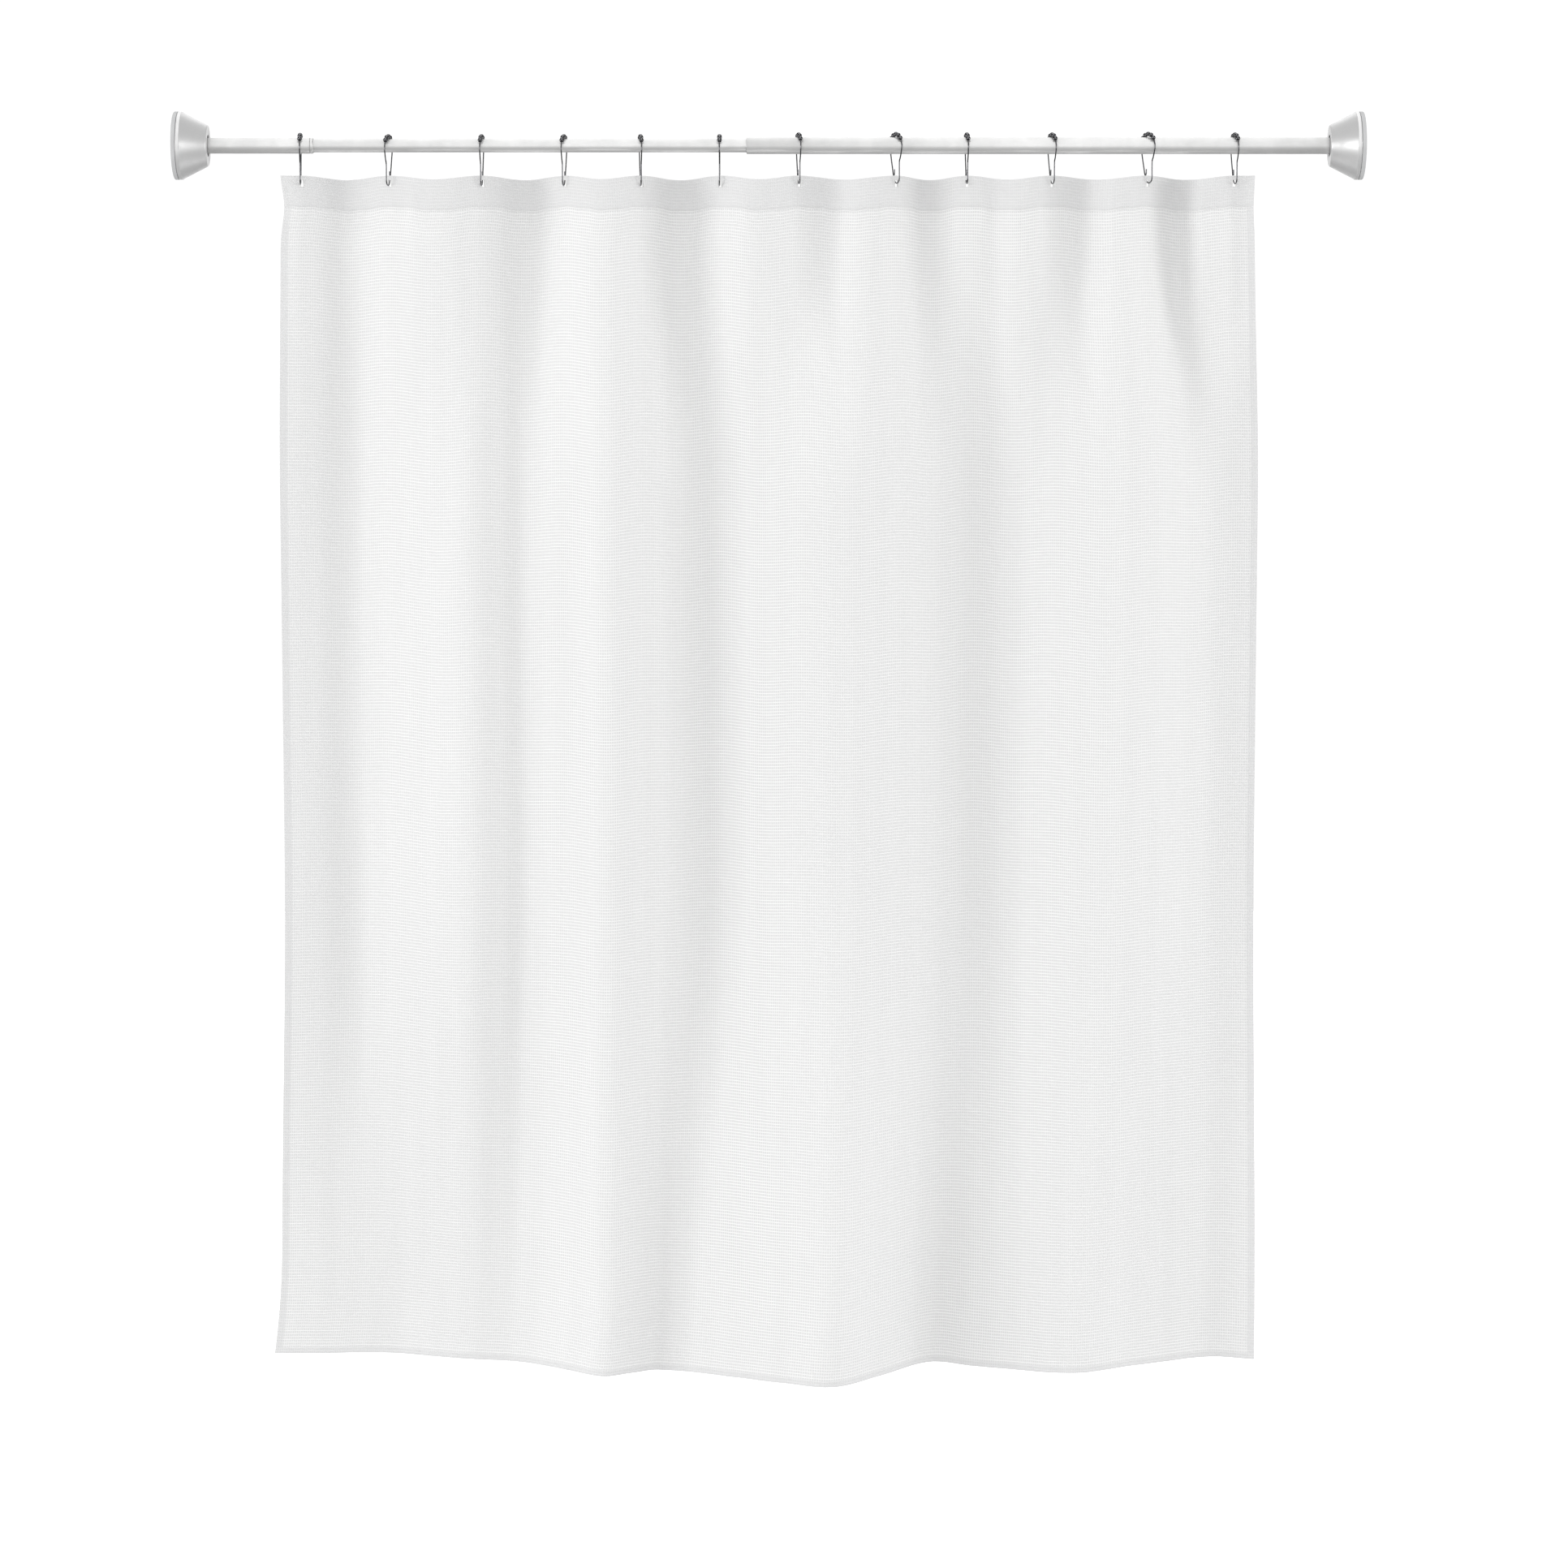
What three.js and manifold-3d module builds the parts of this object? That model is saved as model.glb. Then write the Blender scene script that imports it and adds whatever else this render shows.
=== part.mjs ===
// A cloth shower curtain hung by twelve roller hooks on a telescoping spring tension rod.
// Units are millimetres. The origin is the centre of the left wall face, on the rod axis:
// +X runs along the rod to the right wall, -Y is the bathroom side, +Z is up.
import * as THREE from 'three';
import { mergeVertices } from 'three/addons/utils/BufferGeometryUtils.js';
import Module from 'manifold-3d';

const wasm = await Module();
wasm.setup();

// ---------------------------------------------------------------- driving dimensions
const spanLength = 1806; // wall face to wall face
const clearance = 0.3; // between pieces that touch or slide
const turnedSides = 24;

const sleeveRadius = 12; // fixed sleeve at the left wall
const sleeveWall = 0.8;
const sleeveEnd = 205.7; // where the sleeve stops, from the left wall
const collarLength = 5;

const outerTubeRadius = 12.7;
const outerTubeWall = 0.8;
const outerTubeLength = 925.4;
const mouthGuideLength = 15;

const innerTubeRadius = 10.1;
const innerTubeWall = 1;
const innerTubeStart = 122;
const tubeOverlap = 250; // inner tube held inside the outer tube

const flangeRadius = 51.5;
const flangeDepth = 51; // wall face to the narrow front face
const flangeNoseRadius = 32;
const flangeRim = 5.8; // straight rim of the cover
const flangeWall = 2.2;
const padThickness = 6.2;
const socketWall = 3.2;
const socketFloor = 4.2;
const socketFootRadius = 40;
const socketFootThickness = 3;
const socketRecess = 2; // socket mouth behind the cover's front face

const springWireRadius = 0.9;
const springTurns = 8;
const springLength = 55.7;
const springStopLength = 12;
const plugHeadLength = 4;
const plugShankLength = 16;
const lockPlugLength = 20;

const hookPositions = [
  190.8, 324.8, 466.5, 591.6, 708.1, 828.2, 948.4, 1096.3, 1204.1, 1333.6, 1479.6, 1611.5,
];
const hookTurns = [2.5, -13.2, -5.4, -10.4, 7.2, 0, 10.4, 26.9, 5.4, 17.1, 29.5, 13.5]; // degrees
const hookSlack = 1.8; // play between the beads' ring and the thicker tube
const hookWireRadius = 1;
const hookWireSides = 5;
const beadRadius = 3.8;
const beadCount = 5;
const beadSides = 6;
const beadNeckRadius = 2.6;
const beadBoreRadius = 1.6;
const hookNeck = 11.2; // half width of the straight legs below the rod
const hookLeg = 28.6; // bottom of the round top to the centre of the lower bend
const hookBendRadius = 8;

const curtainDrop = 1842; // finished length of the cloth as it hangs
const headerHeight = 47;
const clothThickness = 1.6;
const headerThickness = 2.4;
const edgeDip = 6; // top edge between two hooks
const hemDip = 10; // hem at the middle of the rod
const buttonholeWidth = 5;
const buttonholeHeight = 14;
const buttonholeDrop = 12.6; // centre of the hole below the top edge
const cutReach = 20;

// Fold depths towards the bathroom side. The header waves between each two hooks, with one
// depth at each third of the gap. Further down the cloth gathers into a few broad folds, given
// as [share of the width, depth].
const headerBulges = [
  [-30, -24], [22, 26], [-30, -36], [36, 38], [-38, -34], [36, 30], [-8, 28], [-34, -20], [2, 26],
  [-14, 34], [-36, 16],
];
const headerOverhang = 31; // cloth beyond the first and last hook
const headerEdgeDepth = 6;
const middleFolds = [
  [0, -8], [0.032, -28], [0.072, -50], [0.133, -5], [0.19, 38], [0.222, 22], [0.248, 8], [0.294, 38],
  [0.337, 66], [0.386, 22], [0.427, -18], [0.487, 22], [0.537, 50], [0.586, 42], [0.633, 8],
  [0.679, -40], [0.716, -60], [0.765, -25], [0.808, 15], [0.853, 38], [0.893, 14], [0.93, -28],
  [0.96, -48], [1, -44],
];
const hemFolds = [
  [0, -57], [0.113, -75], [0.198, -45], [0.252, -30], [0.303, 20], [0.339, 58], [0.366, 35], [0.395, 12],
  [0.468, 55], [0.517, 95], [0.57, 124], [0.619, 50], [0.67, -36], [0.715, -6], [0.807, 48],
  [0.879, 5], [0.952, -40], [1, -15],
];
const middleSpread = [-7, 15]; // side edges at mid-height, from those of the header
const hemSpread = [-38, 22];
const middleHeight = 0.27; // share of the drop where the broad folds are full
const hemStart = 0.55;

// ---------------------------------------------------------------- finishes
const finish = (color, roughness, metalness) => ({ color, roughness, metalness });
const finishes = {
  satinTube: finish(0xc9cbcc, 0.34, 1),
  flangePlastic: finish(0xd2d4d5, 0.42, 0),
  blackPlastic: finish(0x17181a, 0.5, 0),
  wallRubber: finish(0xc4c6c7, 0.75, 0),
  chromeWire: finish(0xd8d9da, 0.12, 1),
  springSteel: finish(0x8d8f92, 0.35, 1),
  whiteCloth: finish(0xf2f2f0, 0.92, 0),
};

// ---------------------------------------------------------------- shared geometry
function closed(geometry) {
  geometry.deleteAttribute('normal');
  geometry.deleteAttribute('uv');
  const merged = mergeVertices(geometry, 1e-4);
  const place = merged.getAttribute('position');
  const corner = (index) => new THREE.Vector3().fromBufferAttribute(place, index);
  const faces = [];
  let volume = 0;
  for (let i = 0; i < merged.index.count; i += 3) {
    const [a, b, c] = [0, 1, 2].map((k) => merged.index.getX(i + k));
    if (a === b || b === c || c === a) continue;
    volume += corner(a).dot(corner(b).cross(corner(c)));
    faces.push([a, b, c]);
  }
  const outward = volume > 0 ? faces : faces.map(([a, b, c]) => [a, c, b]);
  merged.setIndex(outward.flat());
  return merged;
}

function piece(name, geometry, look) {
  const solid = closed(geometry);
  solid.computeVertexNormals();
  const mesh = new THREE.Mesh(solid, new THREE.MeshStandardMaterial(look));
  mesh.name = name;
  return mesh;
}

// A piece turned about the rod axis, from a closed profile of [distance along X, radius].
function turned(profile) {
  const outline = [...profile, profile[0]].map(([along, radius]) => new THREE.Vector2(radius, along));
  const geometry = new THREE.LatheGeometry(outline, turnedSides);
  return geometry.rotateZ(-Math.PI / 2);
}

// A straight tube between two places along the rod.
function ring(start, end, outer, inner) {
  return turned([[start, inner], [start, outer], [end, outer], [end, inner]]);
}

// The same piece seen from the right wall.
const mirrored = (profile) => profile.map(([along, radius]) => [spanLength - along, radius]);

// Rings of points round a path in the YZ plane, one ring for each point of the path.
function pathRings(path, radii, sides) {
  return path.map((point, i) => {
    const before = path[Math.max(i - 1, 0)];
    const after = path[Math.min(i + 1, path.length - 1)];
    const along = after.clone().sub(before).normalize();
    return Array.from({ length: sides }, (_, k) => {
      const angle = (2 * Math.PI * k) / sides;
      const inPlane = radii[i] * Math.cos(angle);
      return new THREE.Vector3(
        radii[i] * Math.sin(angle),
        point.x - along.y * inPlane,
        point.y + along.x * inPlane,
      );
    });
  });
}

// Faces between rings of equal size, from one ring to the next.
function bandFaces(ringCount, sides, spans) {
  const faces = [];
  for (let i = 0; i < spans; i += 1) {
    const next = (i + 1) % ringCount;
    for (let k = 0; k < sides; k += 1) {
      const turn = (k + 1) % sides;
      const [a, b] = [i * sides + k, i * sides + turn];
      const [c, d] = [next * sides + k, next * sides + turn];
      faces.push(a, b, d, a, d, c);
    }
  }
  return faces;
}

const surface = (rings, faces) => (
  new THREE.BufferGeometry().setFromPoints(rings.flat()).setIndex(faces)
);

// A chain of rings that closes on itself, such as a wall with a bore.
const loopSolid = (rings) => surface(rings, bandFaces(rings.length, rings[0].length, rings.length));

// A chain of rings with a flat cap at each end, such as a wire.
function rodSolid(rings) {
  const sides = rings[0].length;
  const last = (rings.length - 1) * sides;
  const faces = bandFaces(rings.length, sides, rings.length - 1);
  for (let k = 1; k < sides - 1; k += 1) {
    faces.push(0, k + 1, k);
    faces.push(last, last + k, last + k + 1);
  }
  return surface(rings, faces);
}

// Rows and columns of a grid's border points, once round from the first corner.
function rimOf(rows, columns) {
  const across = Array.from({ length: columns - 1 }, (_, k) => k);
  const down = Array.from({ length: rows - 1 }, (_, i) => i);
  return [
    ...across.map((k) => [0, k]), ...down.map((i) => [i, columns - 1]),
    ...across.map((k) => [rows - 1, columns - 1 - k]), ...down.map((i) => [rows - 1 - i, 0]),
  ];
}

// A sheet between a front and a back grid of points. Both grids are split along the same
// diagonals, which keeps them apart where the sheet is twisted.
function sheetSolid(front, back) {
  const [rows, columns] = [front.length, front[0].length];
  const at = (side, i, k) => (side * rows + i) * columns + k;
  const faces = [];
  for (let i = 0; i < rows - 1; i += 1) {
    for (let k = 0; k < columns - 1; k += 1) {
      const corners = (side) => [i, i + 1].flatMap((row) => [at(side, row, k), at(side, row, k + 1)]);
      const [a, b, c, d] = corners(0);
      const [e, f, g, h] = corners(1);
      faces.push(a, b, d, a, d, c, e, h, f, e, g, h);
    }
  }
  const rim = rimOf(rows, columns);
  rim.forEach(([i, k], place) => {
    const [j, m] = rim[(place + 1) % rim.length];
    const [a, b, c, d] = [at(0, i, k), at(0, j, m), at(1, i, k), at(1, j, m)];
    faces.push(a, c, d, a, d, b);
  });
  return surface([...front, ...back], faces);
}

function toManifold(geometry) {
  return new wasm.Manifold(new wasm.Mesh({
    numProp: 3,
    vertProperties: Float32Array.from(geometry.getAttribute('position').array),
    triVerts: Uint32Array.from(geometry.index.array),
  }));
}

function fromManifold(solid) {
  const mesh = solid.getMesh();
  const geometry = new THREE.BufferGeometry();
  geometry.setAttribute('position', new THREE.BufferAttribute(mesh.vertProperties, 3));
  return geometry.setIndex(Array.from(mesh.triVerts));
}

// ---------------------------------------------------------------- tension rod
const socketOuter = outerTubeRadius + clearance + socketWall;
const coverBase = padThickness + clearance;
const tubeSeat = coverBase + socketFloor + 2 * clearance;

const padProfile = [
  [0, 0], [0, flangeRadius - 1], [1, flangeRadius], [padThickness, flangeRadius], [padThickness, 0],
];

function coverProfile() {
  const rimEnd = coverBase + flangeRim;
  const hole = socketOuter + clearance;
  const inside = flangeRadius - flangeWall;
  return [
    [coverBase, inside], [coverBase, flangeRadius], [rimEnd, flangeRadius],
    [rimEnd + 1, flangeRadius - 1], [flangeDepth - 1, flangeNoseRadius],
    [flangeDepth, flangeNoseRadius - 1], [flangeDepth, hole],
    [flangeDepth - flangeWall, hole], [flangeDepth - flangeWall, flangeNoseRadius - flangeWall],
    [rimEnd, inside],
  ];
}

function socketProfile(bore) {
  const floorEnd = coverBase + clearance + socketFloor;
  const footEnd = coverBase + clearance + socketFootThickness;
  const mouth = flangeDepth - socketRecess;
  return [
    [coverBase, 0], [coverBase, socketFootRadius], [footEnd, socketFootRadius], [footEnd, socketOuter],
    [mouth, socketOuter], [mouth, bore], [floorEnd, bore], [floorEnd, 0],
  ];
}

function flange(side, profileOf, bore) {
  return [
    piece(`${side}_wall_pad`, turned(profileOf(padProfile)), finishes.wallRubber),
    piece(`${side}_flange_cover`, turned(profileOf(coverProfile())), finishes.flangePlastic),
    piece(`${side}_flange_socket`, turned(profileOf(socketProfile(bore))), finishes.blackPlastic),
  ];
}

// A plug pushed into a tube end: a head that stays outside and a shank inside the tube.
function plug(name, tubeEnd, direction, headLength, headRadius) {
  const shank = innerTubeRadius - innerTubeWall - clearance;
  const head = tubeEnd + direction * clearance;
  const profile = [
    [tubeEnd - direction * plugShankLength, 0], [tubeEnd - direction * plugShankLength, shank],
    [head, shank], [head, headRadius], [head + direction * headLength, headRadius],
    [head + direction * headLength, 0],
  ];
  return piece(name, turned(profile), finishes.blackPlastic);
}

function tensionSpring(start, end, radius) {
  const stepsPerTurn = 10;
  const steps = springTurns * stepsPerTurn;
  const travel = end - start - 2 * springWireRadius;
  const coil = Array.from({ length: steps + 1 }, (_, i) => {
    const angle = (2 * Math.PI * i) / stepsPerTurn;
    const along = start + springWireRadius + (travel * i) / steps;
    return new THREE.Vector3(along, radius * Math.cos(angle), radius * Math.sin(angle));
  });
  const rings = coil.map((centre) => Array.from({ length: hookWireSides }, (_, k) => {
    const angle = (2 * Math.PI * k) / hookWireSides;
    const outward = new THREE.Vector3(0, centre.y, centre.z).normalize();
    const offset = outward.multiplyScalar(springWireRadius * Math.cos(angle));
    offset.x = springWireRadius * Math.sin(angle);
    return centre.clone().add(offset);
  }));
  return piece('tension_spring', rodSolid(rings), finishes.springSteel);
}

function tensionRod() {
  const rod = new THREE.Group();
  const sleeveBore = sleeveRadius - sleeveWall;
  const guideBore = innerTubeRadius + clearance;
  const outerBore = outerTubeRadius - outerTubeWall;
  const outerEnd = spanLength - tubeSeat;
  const mouth = outerEnd - outerTubeLength;
  const innerEnd = mouth + tubeOverlap;
  const collarStart = sleeveEnd + clearance;
  const collar = ring(collarStart, collarStart + collarLength, sleeveRadius, guideBore);
  const seatHead = innerTubeStart - clearance - plugHeadLength;
  const springStart = seatHead - clearance - springLength;
  const stopEnd = springStart - clearance;
  const guideStart = mouth + clearance;
  rod.add(...flange('left', (profile) => profile, sleeveRadius + clearance));
  rod.add(
    piece('spring_sleeve', ring(tubeSeat, sleeveEnd, sleeveRadius, sleeveBore), finishes.satinTube),
    piece('sleeve_collar', collar, finishes.satinTube),
    piece(
      'spring_stop',
      ring(stopEnd - springStopLength, stopEnd, sleeveBore - clearance, springWireRadius),
      finishes.blackPlastic,
    ),
    tensionSpring(springStart, springStart + springLength, innerTubeRadius - 2 * springWireRadius),
    plug('spring_seat', innerTubeStart, -1, plugHeadLength, innerTubeRadius),
    piece(
      'inner_tube',
      ring(innerTubeStart, innerEnd, innerTubeRadius, innerTubeRadius - innerTubeWall),
      finishes.satinTube,
    ),
    plug('lock_plug', innerEnd, 1, lockPlugLength, outerBore - clearance),
    piece('outer_tube', ring(mouth, outerEnd, outerTubeRadius, outerBore), finishes.satinTube),
    piece(
      'tube_mouth_guide',
      ring(guideStart, guideStart + mouthGuideLength, outerBore - clearance, guideBore),
      finishes.blackPlastic,
    ),
  );
  rod.add(...flange('right', mirrored, outerTubeRadius + clearance));
  return { rod, mouth };
}

// ---------------------------------------------------------------- roller hooks
const hookArcRadius = outerTubeRadius + clearance + beadRadius + hookSlack;
const hookDrop = hookArcRadius + hookLeg; // ring centre to the centre of the lower bend
const beadAngle = (2 * beadRadius) / hookArcRadius;
const onArc = (centre, radius, angle) => new THREE.Vector2(
  centre.x - radius * Math.cos(angle),
  centre.y + radius * Math.sin(angle),
);

// Angles of the bead ends and bead middles over the top of the hook, front to back.
function beadStations() {
  const first = Math.PI / 2 - (beadCount * beadAngle) / 2;
  return Array.from({ length: 2 * beadCount + 1 }, (_, i) => first + (i * beadAngle) / 2);
}

// The wire from the free end of the latch up the back, over the rod and down the front to the
// lower bend, which passes back through the cloth. Y is negative on the bathroom side.
function hookPath() {
  const centre = new THREE.Vector2(0, 0);
  const bend = new THREE.Vector2(hookBendRadius - hookNeck, -hookDrop);
  const latch = [[4.2, 13.2], [4.6, 6.6], [6.6, 3.8], [8.6, 7.2], [12, 19.2]];
  const back = latch.map(([y, rise]) => new THREE.Vector2(y, rise - hookDrop));
  const shoulder = 0.3; // how far the round top runs on past the horizontal, in radians
  const front = [-shoulder, shoulder / 2];
  const stations = [...front, ...beadStations(), ...front.map((angle) => Math.PI - angle).reverse()];
  const top = stations.reverse().map((angle) => onArc(centre, hookArcRadius, angle));
  const shoulderInset = 4.4;
  const neck = [[hookArcRadius - shoulderInset, -2.1], [hookNeck + 0.4, 2.9], [hookNeck, 8.4]];
  const leg = neck.map(([y, fall]) => new THREE.Vector2(-y, -hookArcRadius - fall));
  const lower = Array.from({ length: 7 }, (_, i) => onArc(bend, hookBendRadius, (-Math.PI * i) / 6));
  return [...back, ...top, ...leg, ...lower];
}

// The beads of one hook, side by side on the wire, with the bore that the wire runs through.
function beadRings() {
  const path = beadStations().map((angle) => onArc(new THREE.Vector2(0, 0), hookArcRadius, angle));
  const outer = path.map((_, i) => (i % 2 ? beadRadius : beadNeckRadius));
  const bore = path.map(() => beadBoreRadius / Math.cos(Math.PI / beadSides));
  return [...pathRings(path, outer, beadSides), ...pathRings(path, bore, beadSides).reverse()];
}

// Height of the hook's ring centre where its beads hang on a tube of this radius. A bead that
// hangs beside the tube carries nothing.
function restHeight(tubeRadius, turn) {
  const reach = tubeRadius + clearance + beadRadius;
  const across = (angle) => hookArcRadius * Math.abs(Math.cos(angle)) * Math.cos(turn);
  const resting = beadStations().filter((angle, i) => i % 2 && across(angle) < reach);
  const heights = resting.map((angle) => (
    Math.sqrt(reach ** 2 - across(angle) ** 2) - hookArcRadius * Math.sin(angle)
  ));
  return Math.max(...heights);
}

function tubeRadiusAt(along, mouth) {
  if (along < sleeveEnd) return sleeveRadius;
  return along < mouth ? innerTubeRadius : outerTubeRadius;
}

function rollerHook(index, mouth) {
  const hook = new THREE.Group();
  const number = String(index + 1).padStart(2, '0');
  const path = hookPath();
  const wire = rodSolid(pathRings(path, path.map(() => hookWireRadius), hookWireSides));
  const turn = THREE.MathUtils.degToRad(hookTurns[index]);
  const along = hookPositions[index];
  hook.add(piece(`hook_wire_${number}`, wire, finishes.chromeWire));
  hook.add(piece(`hook_rollers_${number}`, loopSolid(beadRings()), finishes.chromeWire));
  hook.position.set(along, 0, restHeight(tubeRadiusAt(along, mouth), turn));
  hook.rotation.z = turn;
  return hook;
}

// ---------------------------------------------------------------- cloth
const mix = THREE.MathUtils.lerp;
const smooth = THREE.MathUtils.smoothstep;
const headerEdges = [hookPositions[0] - headerOverhang, hookPositions.at(-1) + headerOverhang];

// The top edge hangs so that the lower bends pass through the buttonholes, between the heights
// of the hooks on the thick tube and on the thin one.
const bendLevel = restHeight(outerTubeRadius, 0) - hookDrop - 0.92 * hookBendRadius;
const curtainTop = bendLevel - (outerTubeRadius - innerTubeRadius) / 2 + buttonholeDrop;

function headerFolds() {
  const share = (along) => (along - headerEdges[0]) / (headerEdges[1] - headerEdges[0]);
  const folds = [[0, headerEdgeDepth]];
  hookPositions.forEach((along, i) => {
    folds.push([share(along), 0]);
    const gap = hookPositions[i + 1] - along;
    const bulges = headerBulges[i] ?? [];
    bulges.forEach((depth, k) => folds.push([share(along + (gap * (k + 1)) / 3), depth]));
  });
  folds.push([1, headerEdgeDepth]);
  return folds;
}

// Depth between fold points, on a cubic curve that is smooth through every point.
function foldDepth(folds, share) {
  const last = folds.length - 1;
  const at = (i) => folds[THREE.MathUtils.clamp(i, 0, last)];
  const found = folds.findIndex(([place]) => place > share);
  const i = found < 0 ? last - 1 : Math.max(found - 1, 0);
  const slope = (k) => (at(k + 1)[1] - at(k - 1)[1]) / (at(k + 1)[0] - at(k - 1)[0]);
  const width = at(i + 1)[0] - at(i)[0];
  const t = (share - at(i)[0]) / width;
  const turn = t * t * (3 - 2 * t);
  const lead = width * (slope(i) * t * (1 - t) ** 2 - slope(i + 1) * t * t * (1 - t));
  return mix(at(i)[1], at(i + 1)[1], turn) + lead;
}

// Weight of the header, middle and hem folds at a share of the drop.
function foldWeights(fall) {
  const header = 1 - smooth(fall, headerHeight / curtainDrop, middleHeight);
  const hem = smooth(fall, hemStart, 1);
  return [header, (1 - header) * (1 - hem), hem * (1 - header)];
}

const header = headerFolds();

// How far the top edge sags at a place between two hooks.
function headerDip(along) {
  const next = hookPositions.findIndex((place) => place > along);
  if (next < 1) return 0;
  const gap = hookPositions[next] - hookPositions[next - 1];
  return edgeDip * Math.sin((Math.PI * (along - hookPositions[next - 1])) / gap) ** 2;
}

function clothPoint(share, fall) {
  const weights = foldWeights(fall);
  const blend = (values) => values.reduce((sum, value, i) => sum + value * weights[i], 0);
  const edge = (side) => headerEdges[side] + blend([0, middleSpread[side], hemSpread[side]]);
  const depth = blend([header, middleFolds, hemFolds].map((folds) => foldDepth(folds, share)));
  const top = curtainTop - headerDip(mix(headerEdges[0], headerEdges[1], share));
  const bottom = curtainTop - curtainDrop - hemDip * Math.sin(Math.PI * share);
  return new THREE.Vector3(mix(edge(0), edge(1), share), -depth, mix(top, bottom, fall));
}

// Unit vector from the cloth towards the bathroom side.
function clothNormal(share, fall) {
  const step = 0.002;
  const behind = clothPoint(Math.max(share - step, 0), fall);
  const run = clothPoint(Math.min(share + step, 1), fall).sub(behind);
  return new THREE.Vector3(run.y, -run.x, 0).normalize();
}

// Columns at every fold point of the header, and one between each two.
function clothColumns() {
  const places = header.map(([share]) => share);
  return places.flatMap((share, i) => (i ? [(share + places[i - 1]) / 2, share] : [share]));
}

function curtainPanel(hooks) {
  const hemline = headerHeight / curtainDrop;
  const below = [0.06, 0.13, 0.21, 0.3, 0.4, 0.52, 0.65, 0.77, 0.89, 1];
  const rows = [0, 0.02, hemline, hemline + 0.002, ...below];
  const columns = clothColumns();
  const face = (side) => rows.map((fall) => columns.map((share) => {
    const thickness = fall <= hemline ? headerThickness : clothThickness;
    return clothPoint(share, fall).addScaledVector(clothNormal(share, fall), (side * thickness) / 2);
  }));
  return hooks.reduce((cloth, hook) => {
    const cut = new THREE.BoxGeometry(buttonholeWidth, 2 * cutReach, buttonholeHeight);
    cut.rotateZ(hook.rotation.z);
    cut.translate(hook.position.x, 0, curtainTop - buttonholeDrop);
    return cloth.subtract(toManifold(closed(cut)));
  }, toManifold(closed(sheetSolid(face(1), face(-1)))));
}

// ---------------------------------------------------------------- assembly
const assembly = new THREE.Group();
const { rod, mouth } = tensionRod();
const hooks = hookPositions.map((_, index) => rollerHook(index, mouth));
assembly.add(rod, ...hooks);
assembly.add(piece('curtain_panel', fromManifold(curtainPanel(hooks)), finishes.whiteCloth));

export default assembly;
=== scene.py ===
"""A cloth shower curtain on roller-ball hooks, hung from a telescoping tension rod."""
import logging
import math
from dataclasses import dataclass, field
from enum import Enum
from typing import Iterable, Sequence

import bmesh
import bpy
import numpy as np
from mathutils import Matrix, Vector, noise


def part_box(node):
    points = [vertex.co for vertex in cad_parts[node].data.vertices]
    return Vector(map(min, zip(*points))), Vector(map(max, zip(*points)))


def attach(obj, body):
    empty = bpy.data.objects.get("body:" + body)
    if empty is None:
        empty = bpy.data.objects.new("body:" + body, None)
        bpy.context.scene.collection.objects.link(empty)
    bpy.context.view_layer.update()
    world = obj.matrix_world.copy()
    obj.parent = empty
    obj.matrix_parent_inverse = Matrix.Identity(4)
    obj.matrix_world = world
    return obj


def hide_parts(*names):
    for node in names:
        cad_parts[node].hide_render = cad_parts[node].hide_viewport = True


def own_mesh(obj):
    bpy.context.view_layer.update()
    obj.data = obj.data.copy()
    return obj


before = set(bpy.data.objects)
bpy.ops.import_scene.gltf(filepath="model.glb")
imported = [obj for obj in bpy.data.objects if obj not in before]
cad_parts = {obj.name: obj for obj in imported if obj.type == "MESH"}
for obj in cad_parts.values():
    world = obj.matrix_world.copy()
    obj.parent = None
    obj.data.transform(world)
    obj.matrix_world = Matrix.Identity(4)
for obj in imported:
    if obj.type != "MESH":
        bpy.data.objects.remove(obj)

LOG = logging.getLogger("shower_curtain")
MM = 0.001

Profile = Sequence[tuple[float, float]]
Fold = tuple[float, float]
NodeLink = bpy.types.NodeSocket


# ------------------------------------------------------------------ modelling with operators
def deselect_all() -> None:
    """Leaves edit mode and clears the selection."""
    if bpy.context.object is not None and bpy.context.object.mode != "OBJECT":
        bpy.ops.object.mode_set(mode="OBJECT")
    bpy.ops.object.select_all(action="DESELECT")


def take(piece: bpy.types.Object) -> bpy.types.Object:
    """Makes one object the only selected and active one.

    Args:
        piece: The object to work on.

    Returns:
        The same object.
    """
    deselect_all()
    piece.select_set(True)
    bpy.context.view_layer.objects.active = piece
    return piece


def added(name: str) -> bpy.types.Object:
    """Names the primitive that was just added, and its data.

    Args:
        name: The piece's name.

    Returns:
        The new object.
    """
    piece = bpy.context.object
    piece.name = name
    piece.data.name = name
    return piece


def settle(piece: bpy.types.Object) -> bpy.types.Object:
    """Moves an object's place, turn and scale into its mesh.

    Args:
        piece: The object to settle.

    Returns:
        The same object, at the origin.
    """
    take(piece)
    bpy.ops.object.transform_apply(location=True, rotation=True, scale=True)
    return piece


def apply_all(piece: bpy.types.Object) -> bpy.types.Object:
    """Applies every modifier on an object, first to last.

    Args:
        piece: The object with modifiers.

    Returns:
        The same object.
    """
    take(piece)
    for modifier in list(piece.modifiers):
        bpy.ops.object.modifier_apply(modifier=modifier.name)
    return piece


def round_edges(piece: bpy.types.Object, width: float, segments: int = 3) -> bpy.types.Object:
    """Rounds the sharp edges of a turned or moulded piece.

    Args:
        piece: The piece to round.
        width: Width of the rounding in metres.
        segments: Steps across the rounding.

    Returns:
        The same piece, smooth shaded.
    """
    bevel = piece.modifiers.new("rounding", "BEVEL")
    bevel.width = width
    bevel.segments = segments
    bevel.limit_method = "ANGLE"
    bevel.angle_limit = math.radians(28)
    apply_all(piece)
    bpy.ops.object.shade_smooth_by_angle(angle=math.radians(40))
    return piece


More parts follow.
